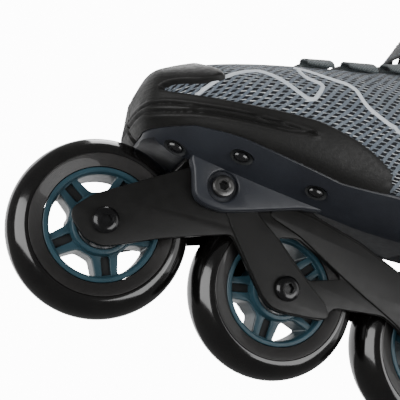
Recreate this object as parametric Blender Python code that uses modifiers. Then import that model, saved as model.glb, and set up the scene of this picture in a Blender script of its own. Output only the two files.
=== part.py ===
"""Soft-boot inline skate, left foot, four wheels in line.

Metres, +Z up.  -X is the toe, -Y the outer side.  Heights are given above the ground under the
wheels; one parent empty lowers everything so that the world origin lies on the foot bed.
"""
import math

import bmesh
import bpy
from mathutils import Matrix, Vector

# ---------------------------------------------------------------- driving dimensions
MM = 0.001
FOOT_BED_HEIGHT = 0.1025
WHEEL_RADIUS = 0.040
WHEEL_HALF_WIDTH = 0.012
WHEEL_PITCH = 0.085
AXLE_XS = tuple((i - 1.5) * WHEEL_PITCH for i in range(4))
RIM_RADIUS = 0.025
BEARING_WIDTH = 0.007
SHANK_HOLE_RADIUS = 0.0042
GAP = 0.0003

WALL_INNER = 0.0142
WALL_OUTER = 0.0170
RIB_OUTER = 0.0180
RIB_ROOT = 0.0008
RIB_INSET = 0.35
FLANGE_INNER = 0.0180
FLANGE_OUTER = 0.0229
POCKET_DEPTH = 0.0020
MOUNT_BOLTS = ((-0.0851, 0.0717), (0.0880, 0.0760))
CHANNEL_HALF_WIDTH = 0.0185

UPPER_THICKNESS = 0.0020
LINER_THICKNESS = 0.0035
LINER_GAP = 0.0012
COUNTER_OUTER = 0.0028
COLLAR_OUTER = -0.0015
CUFF_INNER = 0.0046
CUFF_OUTER = 0.0070
CAP_OUTER = 0.0027
PIVOT_STATION = 10.0

# Boot stations, toe to cuff top, in millimetres: crest x, z; sole or back x, z; half width;
# sideways shift of the centre; squareness at the sole; squareness at the crest.
STATIONS = (
    (-131.5, 107, -129.5, 98, 8, 4.0, 2.2, 2.2),
    (-129.5, 115, -127.0, 91, 23, 4.0, 2.5, 2.2),
    (-123.5, 119.4, -122.5, 87, 33, 4.0, 2.8, 2.2),
    (-109.0, 127.4, -109.0, 85, 41, 3.5, 3.3, 2.2),
    (-88.0, 136.3, -88.0, 85, 47, 2.5, 3.6, 2.2),
    (-59.0, 147.2, -60.0, 85, 50, 1.0, 3.6, 2.2),
    (-25.0, 161, -25.0, 86, 49, 0.0, 3.6, 2.2),
    (-3.0, 176, 20.0, 89.5, 45, 0.0, 3.4, 2.2),
    (8.0, 196, 75.0, 90.5, 41, 0.0, 3.0, 2.2),
    (12.0, 214, 128.0, 92.5, 38.5, 0.0, 2.5, 2.2),
    (11.5, 230, 150.0, 125, 38, 0.0, 2.2, 2.2),
    (10.0, 246, 146.0, 165, 38, 0.0, 2.1, 2.1),
    (8.0, 262, 139.0, 205, 41, 0.0, 2.1, 2.1),
    (5.0, 280, 138.0, 245, 45, 0.0, 2.1, 2.1),
    (2.0, 297, 143.0, 300, 48, 0.0, 2.1, 2.1),
)
LAST = len(STATIONS) - 1

# ---------------------------------------------------------------- scene, collections, materials
for old in list(bpy.data.objects):
    bpy.data.objects.remove(old, do_unlink=True)

skate_collection = bpy.data.collections.new("inline_skate")
cutter_collection = bpy.data.collections.new("cutters")
for collection in (skate_collection, cutter_collection):
    bpy.context.scene.collection.children.link(collection)

ground = bpy.data.objects.new("ground_contact", None)
ground.location = (0, 0, -FOOT_BED_HEIGHT)
skate_collection.objects.link(ground)


def material(name, color, roughness, metallic=0.0):
    mat = bpy.data.materials.new(name)
    mat.use_nodes = True
    shader = mat.node_tree.nodes["Principled BSDF"]
    shader.inputs["Base Color"].default_value = (*color, 1.0)
    shader.inputs["Roughness"].default_value = roughness
    shader.inputs["Metallic"].default_value = metallic
    return mat


URETHANE = material("urethane", (0.015, 0.015, 0.016), 0.15)
HUB_PLASTIC = material("hub_plastic", (0.03, 0.08, 0.11), 0.35)
STEEL = material("steel", (0.55, 0.55, 0.56), 0.3, 1.0)
BLACK_STEEL = material("black_steel", (0.02, 0.02, 0.02), 0.3, 0.8)
FRAME_PAINT = material("frame_paint", (0.02, 0.02, 0.02), 0.5, 0.3)
SOLE_PLASTIC = material("sole_plastic", (0.03, 0.035, 0.045), 0.45)
RUBBER = material("rubber", (0.02, 0.02, 0.019), 0.6)
KNIT = material("knit", (0.18, 0.21, 0.24), 0.85)
PADDING = material("padding", (0.02, 0.02, 0.022), 0.95)
SHELL_PLASTIC = material("shell_plastic", (0.025, 0.027, 0.03), 0.4)
WEBBING = material("webbing", (0.10, 0.11, 0.12), 0.9)
CORD = material("cord", (0.01, 0.01, 0.01), 0.8)


def up(x, y, z):
    """A place given in millimetres above the ground."""
    return Vector((x, y, z)) * MM


# ---------------------------------------------------------------- building helpers
def add_object(name, mesh, mat, collection=skate_collection, place=(0, 0, 0)):
    obj = bpy.data.objects.new(name, mesh)
    obj.location = place
    obj.parent = ground
    if mat and not mesh.materials:
        mesh.materials.append(mat)
    collection.objects.link(obj)
    return obj


def smooth(obj, angle=35):
    obj.data.shade_smooth()
    obj.data.set_sharp_from_angle(angle=math.radians(angle))


def bake(obj):
    """Replace an object's mesh or curve by its evaluated, welded mesh and drop its modifiers."""
    bpy.context.view_layer.update()
    evaluated = obj.evaluated_get(bpy.context.evaluated_depsgraph_get())
    mesh = bpy.data.meshes.new_from_object(evaluated)
    bm = bmesh.new()
    bm.from_mesh(mesh)
    bmesh.ops.remove_doubles(bm, verts=bm.verts, dist=1e-6)
    bm.to_mesh(mesh)
    bm.free()
    name = obj.name
    holders = list(obj.users_collection)
    baked = bpy.data.objects.new(name + "_baked", mesh)
    baked.parent = obj.parent
    baked.matrix_local = obj.matrix_local
    for holder in holders:
        holder.objects.link(baked)
    bpy.data.objects.remove(obj, do_unlink=True)
    baked.name = name
    return baked


def boolean(obj, other, operation):
    other.hide_render = True
    other.display_type = "WIRE"
    modifier = obj.modifiers.new(operation.lower(), "BOOLEAN")
    modifier.operation = operation
    modifier.object = other
    modifier.solver = "EXACT"


def combine(obj, operation, others):
    """Join or cut with each of the others in turn, and bake the result."""
    for other in others:
        boolean(obj, other, operation)
    result = bake(obj)
    for other in others:
        bpy.data.objects.remove(other, do_unlink=True)
    return result


def outline_plate(name, outline, y_low, y_high, mat, holes=(), collection=skate_collection):
    """A flat outline in the side view, in millimetres, extruded from y_low to y_high."""
    curve = bpy.data.curves.new(name, "CURVE")
    curve.dimensions = "2D"
    curve.fill_mode = "BOTH"
    curve.extrude = (y_high - y_low) / 2
    for loop in (outline, *holes):
        spline = curve.splines.new("POLY")
        spline.points.add(len(loop) - 1)
        for point, (x, z) in zip(spline.points, loop):
            point.co = (x * MM, z * MM, 0, 1)
        spline.use_cyclic_u = True
    obj = add_object(name, curve, mat, collection, (0, (y_low + y_high) / 2, 0))
    obj.rotation_euler = (math.pi / 2, 0, 0)
    return bake(obj)


def circle_loop(x, z, radius, sides=16, phase=0.0):
    """Points of a round outline in millimetres."""
    angles = [phase + 2 * math.pi * i / sides for i in range(sides)]
    return [(x + radius * math.cos(a), z + radius * math.sin(a)) for a in angles]


def turned(name, profile, steps, mat, collection=skate_collection, closed=False):
    """Screw a profile of (radius, height) points, in millimetres, about Z."""
    mesh = bpy.data.meshes.new(name)
    points = [(r * MM, 0, h * MM) for r, h in profile]
    edges = [(i, i + 1) for i in range(len(points) - 1)]
    if closed:
        edges.append((len(points) - 1, 0))
    mesh.from_pydata(points, edges, [])
    obj = add_object(name, mesh, mat, collection)
    screw = obj.modifiers.new("turn", "SCREW")
    screw.axis = "Z"
    screw.steps = steps
    screw.render_steps = steps
    screw.use_merge_vertices = True
    screw.merge_threshold = 1e-6
    return bake(obj)


def rod(name, radius, y_low, y_high, x, z, mat=None, sides=16, collection=cutter_collection):
    """A cylinder along Y between two planes; sizes in metres, place (x, z) in millimetres."""
    bm = bmesh.new()
    bmesh.ops.create_cone(bm, cap_ends=True, segments=sides, radius1=radius, radius2=radius,
                          depth=y_high - y_low)
    bmesh.ops.rotate(bm, verts=bm.verts, matrix=Matrix.Rotation(math.pi / 2, 3, "X"))
    mesh = bpy.data.meshes.new(name)
    bm.to_mesh(mesh)
    bm.free()
    return add_object(name, mesh, mat, collection, (x * MM, (y_low + y_high) / 2, z * MM))


def block(name, low, high, mat=None, collection=cutter_collection):
    """A box between two corners in millimetres."""
    bm = bmesh.new()
    bmesh.ops.create_cube(bm, size=1.0)
    low = up(*low)
    high = up(*high)
    bmesh.ops.scale(bm, verts=bm.verts, vec=high - low)
    mesh = bpy.data.meshes.new(name)
    bm.to_mesh(mesh)
    bm.free()
    return add_object(name, mesh, mat, collection, (low + high) / 2)


# ---------------------------------------------------------------- the boot's surface
def station(u):
    """Catmull-Rom reading of the station table at a real station number."""
    i = min(max(int(math.floor(u)), 0), LAST - 1)
    t = u - i
    rows = [STATIONS[min(max(k, 0), LAST)] for k in (i - 1, i, i + 1, i + 2)]
    return [
        0.5 * (2 * b + (c - a) * t + (2 * a - 5 * b + 4 * c - d) * t * t
               + (3 * b - a - 3 * c + d) * t ** 3)
        for a, b, c, d in zip(*rows)
    ]


def boot_base(u, v):
    """The boot's outer skin. v runs round the section: 0 sole or back, 0.25 outer side, 0.5 crest."""
    top_x, top_z, low_x, low_z, half_width, centre_y, square_low, square_top = station(u)
    angle = 2 * math.pi * v
    c, s = math.cos(angle), math.sin(angle)
    power = 2 / (square_low if c > 0 else square_top)
    side = -math.copysign(abs(s) ** power, s)
    rise = 0.5 * (1 - math.copysign(abs(c) ** power, c))
    settle = 1.25 - 0.25 * min(max((u - 7) / 3, 0), 1)
    rise = rise ** settle
    return up(low_x + (top_x - low_x) * rise, centre_y + half_width * side,
              low_z + (top_z - low_z) * rise)


def boot(u, v, offset=0.0):
    """A point on the boot's skin, moved outward by offset metres."""
    point = boot_base(u, v)
    if not offset:
        return point
    step_u, step_v = 0.05, 0.012
    along = boot_base(min(u + step_u, LAST), v) - boot_base(max(u - step_u, 0), v)
    around = boot_base(u, v + step_v) - boot_base(u, v - step_v)
    return point + along.cross(around).normalized() * offset


def spread(low, high, count):
    return [low + (high - low) * i / (count - 1) for i in range(count)]


def ladder(bm, row):
    """Close a flattened ring with rungs from one long side to the other."""
    count = len(row)
    for k in range(count // 2 - 1):
        bm.faces.new((row[k], row[k + 1], row[count - 2 - k], row[count - 1 - k]))


def loft(name, rings, mat, closed_around, cap_start=False, cap_end=False,
         collection=skate_collection):
    """Quads between rows of points; caps close the first and the last row."""
    bm = bmesh.new()
    rows = [[bm.verts.new(p) for p in ring] for ring in rings]
    count = len(rows[0])
    last = count if closed_around else count - 1
    for row, following in zip(rows, rows[1:]):
        for k in range(last):
            n = (k + 1) % count
            bm.faces.new((row[k], following[k], following[n], row[n]))
    if cap_start:
        ladder(bm, rows[0])
    if cap_end:
        ladder(bm, list(reversed(rows[-1])))
    if cap_end and bm.calc_volume(signed=True) < 0:
        bmesh.ops.reverse_faces(bm, faces=bm.faces)
    mesh = bpy.data.meshes.new(name)
    bm.to_mesh(mesh)
    bm.free()
    obj = add_object(name, mesh, mat, collection)
    return obj


def solidify(obj, thickness):
    modifier = obj.modifiers.new("thickness", "SOLIDIFY")
    modifier.thickness = thickness
    modifier.offset = -1
    return modifier


def sock(name, mat, outer, thickness, u_low, u_high, steps, around, cap=True):
    """A shell all round the boot. u_high is a function of v, so the rim can dip and rise."""
    vs = [i / around for i in range(around)]
    rings = []
    for t in spread(0, 1, steps):
        rings.append([boot(u_low + (u_high(v) - u_low) * t, v, outer) for v in vs])
    obj = loft(name, rings, mat, True, cap_start=cap)
    solidify(obj, thickness)
    return obj


def wrap(name, mat, outer, thickness, u_low, u_high, v_low, v_high, steps, around):
    """A shell over part of the boot, between two v values; the ends in u are functions of v."""
    rings = []
    vs = spread(v_low, v_high, around)
    for t in spread(0, 1, steps):
        rings.append([boot(u_low(v) + (u_high(v) - u_low(v)) * t, v, outer) for v in vs])
    obj = loft(name, rings, mat, False)
    solidify(obj, thickness)
    return obj


# ---------------------------------------------------------------- wheels
TREAD_STEPS = 3
WHEEL_SIDES = 28


def tyre_profile():
    """Closed half-section: bore, side lip, then a rounded tread."""
    width = WHEEL_HALF_WIDTH / MM
    radius = WHEEL_RADIUS / MM
    shoulder = 30.5
    side = [(RIM_RADIUS / MM + 0.3, 10.0), (27.6, 11.0)]
    for k in range(TREAD_STEPS):
        angle = math.pi / 2 * k / TREAD_STEPS
        side.append((shoulder + (radius - shoulder) * math.sin(angle), width * math.cos(angle)))
    tread = [(radius, 0.0)]
    other = [(r, -h) for r, h in reversed(side)]
    return side + tread + other


def make_hub():
    """Rim ring, bearing barrel and a spoked disc, joined into one moulding."""
    rim = turned("hub_shape", [(25.0, 10.2), (25.0, -10.2), (22.6, -10.2), (22.6, 10.2)], WHEEL_SIDES,
                 HUB_PLASTIC, closed=True)
    barrel = turned("barrel", [(13.8, 12), (13.8, -12), (11.25, -12), (11.25, -4.4), (8.5, -4.4),
                               (8.5, 4.4), (11.25, 4.4), (11.25, 12)], 16, None,
                    cutter_collection, closed=True)
    windows = []
    for k in range(5):
        middle = 2 * math.pi * (k + 0.5) / 5
        window = []
        for radius, half in ((15.5, 0.20), (21.6, 0.38), (21.6, 0.0), (21.6, -0.38), (15.5, -0.20)):
            angle = middle + half
            window.append((radius * math.cos(angle), radius * math.sin(angle)))
        windows.append(window)
    centre = circle_loop(0, 0, 12.6, 16)
    disc = outline_plate("disc", circle_loop(0, 0, 23.8, WHEEL_SIDES), -0.008, 0.008, None,
                         (*windows, centre), cutter_collection)
    disc.rotation_euler = (0, 0, 0)
    return combine(rim, "UNION", [barrel, disc])


def place_copy(name, source, x, y=0.0, z=WHEEL_RADIUS, rotation=(math.pi / 2, 0, 0)):
    """Another object on the same mesh, turned so that its Z lies along -Y."""
    obj = add_object(name, source.data, None, place=(x, y, z))
    obj.rotation_euler = rotation
    return obj


def make_wheels():
    tyre = turned("tyre_shape", tyre_profile(), WHEEL_SIDES, URETHANE, closed=True)
    hub = make_hub()
    half = BEARING_WIDTH / 2 / MM
    bearing = turned("bearing_shape", [(11.0, half), (11.0, -half), (4.25, -half), (4.25, half)],
                     16, STEEL, closed=True)
    spacer = turned("spacer_shape", [(6, 4.3), (6, -4.3), (4.25, -4.3), (4.25, 4.3)],
                    12, STEEL, closed=True)
    bolt = turned("axle_shape", [(0, 1.2), (2.3, 1.2), (2.3, 2.7), (4.2, 2.7), (5.65, 1.6),
                                 (5.65, 0), (3.85, 0), (3.85, -35.4), (0, -35.4)],
                  16, BLACK_STEEL)
    head_plane = RIB_OUTER + GAP
    bearing_y = WHEEL_HALF_WIDTH - GAP - BEARING_WIDTH / 2
    for number, x in enumerate(AXLE_XS, start=1):
        place_copy(f"tyre_{number}", tyre, x)
        place_copy(f"hub_{number}", hub, x)
        place_copy(f"bearing_left_{number}", bearing, x, -bearing_y)
        place_copy(f"bearing_right_{number}", bearing, x, bearing_y)
        place_copy(f"bearing_spacer_{number}", spacer, x)
        place_copy(f"axle_bolt_{number}", bolt, x, -head_plane)
    for shape in (tyre, hub, bearing, spacer, bolt):
        smooth(shape)
        bpy.data.objects.remove(shape, do_unlink=True)


# ---------------------------------------------------------------- frame
FRONT_ARM_END = ((-120.8, 31.5), (-124.8, 29.7), (-132.5, 29.8), (-140, 35.3), (-142.5, 40.3),
                 (-136, 49.1))
WALL = (
    *FRONT_ARM_END, (-110.4, 68.8), (-99.9, 76.8), (-97, 81.8), (-45, 81.8), (-38, 77.2),
    (-12.6, 73.5), (9.5, 67), (26, 64.5), (42, 66), (55, 73), (62, 86.7), (104, 86.7),
    (108, 72.5), (136, 49.1), (142.5, 40.3), (140, 35.3), (132.5, 29.8), (124.8, 29.7),
    (120.8, 31.5), (103.5, 41.2), (92.2, 46.4), (73.4, 54.6), (52, 32.4), (47.5, 29.6),
    (41.5, 29.2), (30, 31.2), (22, 35.5), (15.9, 41.1), (6.7, 44.4), (-10.5, 41.1),
    (-18.4, 39.6), (-21.3, 32.3), (-41.5, 29.2), (-47.5, 29.6), (-52, 32.4), (-73.4, 54.6),
    (-92.2, 46.4), (-103.5, 41.2),
)
WALL_WINDOW = ((-52.3, 60.9), (-43.5, 63.9), (-31.2, 59.8), (-19.8, 55.1), (-18.1, 53.4),
               (-33.2, 47.2))
STRUT = ((-79, 62.2), (-73.4, 55.3), (-59.1, 39.9), (-52, 32.4), (-47.5, 29.6), (-41.5, 29.2),
         (-27.1, 31.4), (-20.4, 33.0), (-19.5, 35.7), (-22.4, 40.3), (-33.7, 47), (-42.6, 53.1),
         (-52.9, 61), (-63.5, 67.2), (-72, 76), (-88, 76))
BEAM = ((-59.3, 68.2), (-43.3, 64.7), (-20.2, 54.9), (-5.9, 49.3), (6.5, 44.9), (15.9, 41.1),
        (22, 35.5), (30, 31.2), (41.5, 29.2), (47.5, 29.6), (52, 32.4), (59.1, 39.9), (70, 52),
        (60, 60), (50, 56), (42, 55), (26, 61), (9.5, 66.4), (-12.6, 72.9), (-38, 76.4),
        (-60, 76.4))
REAR_STRUT = ((73.4, 55.3), (79, 62.2), (92, 76), (68, 76), (60, 60), (62, 50))


def inset(outline, distance):
    """The outline drawn in by a distance in millimetres."""
    area = sum(a[0] * b[1] - b[0] * a[1] for a, b in zip(outline, outline[1:] + outline[:1]))
    turn = math.copysign(1.0, area)
    result = []
    for before, here, after in zip(outline[-1:] + outline[:-1], outline, outline[1:] + outline[:1]):
        lines = []
        for start, end in ((before, here), (here, after)):
            direction = Vector((end[0] - start[0], end[1] - start[1])).normalized()
            lines.append(Vector((-direction.y, direction.x)) * turn)
        inward = (lines[0] + lines[1]).normalized()
        reach = distance / max(inward.dot(lines[0]), 0.4)
        result.append((here[0] + inward.x * reach, here[1] + inward.y * reach))
    return tuple(result)


def make_frame():
    """Two walls with raised ribs, axle bosses, and a deck under each end of the sole plate."""
    side_pieces = []
    for name, outline, holes, outer in (
            ("wall", WALL, (WALL_WINDOW,), WALL_OUTER),
            ("strut_rib", STRUT, (), RIB_OUTER),
            ("beam_rib", BEAM, (), RIB_OUTER - 0.0002),
            ("rear_rib", REAR_STRUT, (), RIB_OUTER - 0.0001)):
        inner = WALL_INNER
        if name != "wall":
            inner = WALL_OUTER - RIB_ROOT
            outline = inset(outline, RIB_INSET)
        for side, low, high in (("left", -outer, -inner), ("right", inner, outer)):
            side_pieces.append(outline_plate(f"{name}_{side}", outline, low, high, None, holes,
                                             cutter_collection))
    inner_face = WHEEL_HALF_WIDTH + GAP
    for number, x in enumerate(AXLE_XS, start=1):
        height = WHEEL_RADIUS / MM
        side_pieces.append(rod(f"boss_left_{number}", 0.0065, -WALL_INNER - 0.001, -inner_face,
                               x / MM, height, None, 12))
        side_pieces.append(rod(f"boss_right_{number}", 0.0065, inner_face, WALL_INNER + 0.001,
                               x / MM, height, None, 12))
    half = WALL_INNER / MM + 1
    decks = [
        block("front_deck", (-103, -half, 78.6), (-65, half, 81.6)),
        block("rear_deck", (66, -half, 83.5), (103, half, 86.5)),
    ]
    frame = decks[0]
    frame.name = "frame"
    cutter_collection.objects.unlink(frame)
    skate_collection.objects.link(frame)
    frame.data.materials.append(FRAME_PAINT)
    frame = combine(frame, "UNION", side_pieces + decks[1:2])
    drills = []
    for number, x in enumerate(AXLE_XS, start=1):
        drills.append(rod(f"axle_drill_{number}", SHANK_HOLE_RADIUS, -0.03, 0.03, x / MM,
                          WHEEL_RADIUS / MM))
    for number, (x, z) in enumerate(MOUNT_BOLTS, start=1):
        drills.append(rod(f"mount_drill_{number}", 0.0033, -0.03, 0.03, x / MM, z / MM))
    frame = combine(frame, "DIFFERENCE", drills)
    smooth(frame, 30)
    return frame


# ---------------------------------------------------------------- sole plate
PLATE_NOSE = 1.85
PLATE_START = 1.89
# station, reach of the plate's rim round the section
PLATE_REACH = ((4.0, 0.160), (5.0, 0.1365), (5.6, 0.1225), (6.2, 0.137), (8.2, 0.155))
FRONT_FLANGE = ((-103.5, 84), (-102.4, 78), (-100, 74.5), (-98, 69), (-96.6, 64.8), (-94.3, 62.4),
                (-91, 61.2), (-87, 60.9), (-80.9, 61.4), (-72.4, 64.9), (-48, 75.6), (-36, 78.5),
                (-36, 84))
REAR_FLANGE = ((58, 88), (60, 79), (70, 70), (80, 67), (96, 67), (103, 72), (110, 80), (112, 88))


def sole_edge(u):
    """How far round the boot's section the sole plate reaches: narrow at its nose."""
    nose = 0.03 + 0.115 * math.sqrt(max(u - PLATE_NOSE, 0))
    reach = PLATE_REACH[-1][1]
    for (u0, reach0), (u1, reach1) in zip(PLATE_REACH, PLATE_REACH[1:]):
        if u <= u1:
            reach = reach0 + (reach1 - reach0) * max((u - u0) / (u1 - u0), 0)
            break
    return min(nose, reach)


def keel_height(x):
    """Height of the sole plate's flat underside outside the wheel channel, in millimetres."""
    rise = min(max((x + 20) / 70, 0), 1)
    nose = min(max((-117 - x) / 8, 0), 1)
    return 77 + 5.5 * rise * rise * (3 - 2 * rise) + 3 * nose * nose


def hull_rings(start, inner_offset, outer_offset, extra):
    """Sections of the hull that cups the sole; extra widens it for use as a clearance."""
    rings = []
    cells = 9
    for u in [start, 2.0, 2.15] + spread(2.35, 9.55, 19):
        edge = sole_edge(max(u, PLATE_START)) + extra
        vs = spread(-edge, edge, cells)
        top = [boot(u, v, inner_offset) for v in vs]
        rims = {1: boot(u, edge, outer_offset), -1: boot(u, -edge, outer_offset)}
        middle = station(u)
        keel = up(middle[2], middle[5], keel_height(middle[2]))
        lower = []
        for s in spread(1, -1, cells):
            rim = rims[1 if s > 0 else -1]
            flare = abs(s) ** 2.6
            lower.append(Vector((keel.x + (rim.x - keel.x) * flare,
                                 keel.y + (rim.y - keel.y) * abs(s) ** 0.9,
                                 keel.z + (rim.z - keel.z) * flare)))
        rings.append(top + lower)
    return rings


def make_base_plate():
    """A hull that cups the boot's sole, with a channel for the wheels and two pairs of flanges."""
    plate = loft("base_plate", hull_rings(PLATE_START, 0.0012, 0.0030, 0.0), SOLE_PLASTIC,
                 True, True, True)
    flanges = []
    for name, outline in (("front_flange", FRONT_FLANGE), ("rear_flange", REAR_FLANGE)):
        for side, low, high in (("left", -FLANGE_OUTER, -FLANGE_INNER),
                                ("right", FLANGE_INNER, FLANGE_OUTER)):
            flanges.append(outline_plate(f"{name}_{side}", outline, low, high, None, (),
                                         cutter_collection))
    plate = combine(plate, "UNION", flanges)
    half = CHANNEL_HALF_WIDTH / MM
    cutters = [
        block("front_channel", (-145, -half, 60), (24, half, 82.1)),
        block("rear_channel", (20, -half, 60), (160, half, 87.0)),
    ]
    for number, (x, z) in enumerate(MOUNT_BOLTS, start=1):
        cutters.append(rod(f"bolt_drill_{number}", 0.0033, -0.03, 0.03, x / MM, z / MM))
        for side, low, high in (("left", -0.03, -FLANGE_OUTER + POCKET_DEPTH),
                                ("right", FLANGE_OUTER - POCKET_DEPTH, 0.03)):
            cutters.append(rod(f"pocket_{side}_{number}", 0.0068, low, high, x / MM, z / MM))
    plate = combine(plate, "DIFFERENCE", cutters)
    smooth(plate, 30)
    return plate


def make_mount_bolts():
    seat = FLANGE_OUTER - POCKET_DEPTH + GAP
    length = 2 * seat / MM + 2.0
    bolt = turned("mount_shape", [(0, 1.2), (1.9, 1.2), (1.9, 3.0), (4.4, 3.0), (4.9, 2.5),
                                  (4.9, 0), (2.9, 0), (2.9, -length), (0, -length)], 16, STEEL)
    nut = turned("nut_shape", [(5.2, 2.2), (5.2, 0), (3.65, 0), (3.65, 2.2)], 6, STEEL, closed=True)
    for name, (x, z) in zip(("front", "rear"), MOUNT_BOLTS):
        place_copy(f"{name}_mount_bolt", bolt, x, -seat, z)
        place_copy(f"{name}_mount_nut", nut, x, seat, z, (-math.pi / 2, 0, 0))
    for shape in (bolt, nut):
        bpy.data.objects.remove(shape, do_unlink=True)


# ---------------------------------------------------------------- boot parts
CAP_SIDE = ((-150, 76), (-60, 80), (-17.5, 84), (-17.5, 90), (-19, 94), (-22.5, 98),
            (-31, 101.2), (-40.5, 103.6), (-50, 104.7), (-60.5, 105.3), (-71.5, 104.2),
            (-80, 103.3), (-91, 101.8),
            (-100.3, 100.8), (-110.8, 99.8), (-119.4, 99.2), (-123.6, 99.6), (-124.2, 101),
            (-121.6, 103), (-116.8, 104.5), (-111.3, 105.6), (-105.4, 108.3), (-102.4, 111),
            (-102.8, 113.2), (-106, 114.8), (-111.5, 117), (-114.5, 122), (-115, 150),
            (-150, 150))


def make_toe_cap():
    shell = sock("toe_cap", RUBBER, CAP_OUTER, CAP_OUTER - 2 * GAP, 0, lambda v: 6.6, 14, 22)
    keep = outline_plate("cap_side", CAP_SIDE, -0.08, 0.08, None, (), cutter_collection)
    clearance = loft("plate_clearance", hull_rings(PLATE_START - 0.13, -0.0010, 0.0070, 0.004), None,
                     True, True, True)
    cap = combine(shell, "INTERSECT", [keep])
    cap = combine(cap, "DIFFERENCE", [clearance])
    smooth(cap, 40)


def ankle_line(v):
    """Where the low boot ends: low at the back of the heel, lower at the sides, open in front."""
    back = math.cos(2 * math.pi * v)
    return 9.55 + 1.25 * max(back, 0) ** 1.5 - 0.55 * max(-back, 0)


def throat_cutter(name, half_front, half_back, x_front):
    """The lacing opening, seen from above, cut through the crest only."""
    bm = bmesh.new()
    outline = [(x_front, -half_front * 0.5), (x_front + 4, -half_front), (0, -half_back),
               (45, -half_back), (45, half_back), (0, half_back), (x_front + 4, half_front),
               (x_front, half_front * 0.5)]
    rows = []
    for z in (128, 260):
        rows.append([bm.verts.new(up(x, y, z)) for x, y in outline])
    bm.faces.new(list(reversed(rows[0])))
    bm.faces.new(rows[1])
    for k in range(len(outline)):
        n = (k + 1) % len(outline)
        bm.faces.new((rows[0][k], rows[0][n], rows[1][n], rows[1][k]))
    mesh = bpy.data.meshes.new(name)
    bm.to_mesh(mesh)
    bm.free()
    return add_object(name, mesh, None, cutter_collection)


def make_uppers():
    upper = sock("upper", KNIT, 0.0, UPPER_THICKNESS, 0, ankle_line, 18, 22)
    combine(upper, "DIFFERENCE", [throat_cutter("upper_throat", 15, 22, -71)])
    inside = -UPPER_THICKNESS - LINER_GAP
    liner = sock("liner", PADDING, inside, LINER_THICKNESS, 1.35, ankle_line, 16, 22)
    combine(liner, "DIFFERENCE", [throat_cutter("liner_throat", 28, 32, -86)])
    for name in ("upper", "liner"):
        smooth(bpy.data.objects[name], 50)


def make_insole():
    """The foot bed: its flat top is the skate's datum."""
    rings = []
    clearance = -UPPER_THICKNESS - LINER_THICKNESS - LINER_GAP
    top = FOOT_BED_HEIGHT
    rim, least = 0.0006, 0.0012
    for u in spread(2.2, 8.5, 12):
        heel = min(max((u - 6.4) / 1.6, 0), 1)
        half = station(u)[4] * MM * (0.66 - 0.14 * heel)
        middle = boot(u, 0.0, clearance)
        edge_z = max(boot(u, v, clearance).z for v in (0.06, -0.06))
        low = min(max(edge_z, middle.z) + 0.0014, top - least)
        side_low = min(low + 0.001, top - rim)
        x = middle.x
        y = station(u)[5] * MM
        rings.append([Vector((x, y - half, side_low)), Vector((x, y - half, top)),
                      Vector((x, y + half, top)), Vector((x, y + half, side_low)),
                      Vector((x, y + half * 0.6, low)), Vector((x, y - half * 0.6, low))])
    insole = loft("insole", rings, PADDING, True, True, True)
    smooth(insole, 30)


def counter_top(v):
    side = max(1 - abs(abs(v) - 0.25) / 0.09, 0)
    return 10.55 + 0.15 * math.cos(2 * math.pi * v) + 0.25 * side


def counter_bottom(v):
    """The counter's lower edge: behind the sole plate at the heel, lower beside it."""
    beside = min(max((abs(v) - 0.165) / 0.05, 0), 1)
    return 9.75 - 1.0 * beside * beside * (3 - 2 * beside)


def make_heel_counter():
    return wrap("heel_counter", SHELL_PLASTIC, COUNTER_OUTER, COUNTER_OUTER - 2 * GAP,
                   counter_bottom, counter_top, -0.27, 0.27, 9, 19)


def cuff_bottom(v):
    """The cuff's lower edge: high at the back, a lobe round each ankle pivot."""
    away = abs(abs(v) - 0.25) / 0.07
    lobe = math.exp(-away * away)
    return 11.15 + 0.6 * max((abs(v) - 0.28) / 0.06, 0) - 1.65 * lobe


def make_cuff():
    return wrap("cuff", SHELL_PLASTIC, CUFF_OUTER, CUFF_OUTER - CUFF_INNER, cuff_bottom,
                lambda v: 13.75 - 0.35 * (abs(v) / 0.34) ** 2, -0.34, 0.34, 9, 21)


def pivot_place():
    """Ankle pivot, in millimetres: the middle of its station."""
    row = station(PIVOT_STATION)
    return (row[0] + row[2]) / 2, (row[1] + row[3]) / 2


def drill_pivots(obj, radius):
    x, z = pivot_place()
    drilled = combine(obj, "DIFFERENCE", [rod(obj.name + "_pivot_drill", radius, -0.08, 0.08, x, z)])
    smooth(drilled, 40)


def make_pivots():
    x, z = pivot_place()
    side = STATIONS[int(PIVOT_STATION)][4]
    base = side + 0.6
    head = side + CUFF_OUTER / MM + 1.5
    for name, sign in (("left", -1), ("right", 1)):
        profile = [(0, head + 2.2), (5, head + 2.0), (7.2, head + 0.9), (7.2, head), (3.6, head),
                   (3.6, base), (0, base)]
        pivot = turned(f"cuff_pivot_{name}", profile, 16, STEEL)
        pivot.location = (x * MM, 0, z * MM)
        pivot.rotation_euler = (-sign * math.pi / 2, 0, 0)
        smooth(pivot)


def collar_bottom(v):
    """The padded collar's lower edge, which clears the low boot when the cuff flexes."""
    return ankle_line(v) + 0.75 - 0.35 * math.cos(2 * math.pi * v) ** 2 \
        + 0.9 * (max(abs(v) - 0.25, 0) / 0.13)


def make_collar():
    collar = wrap("collar", PADDING, COLLAR_OUTER, 0.0080, collar_bottom,
                  lambda v: 13.95, -0.385, 0.385, 9, 19)
    smooth(collar, 50)


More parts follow.
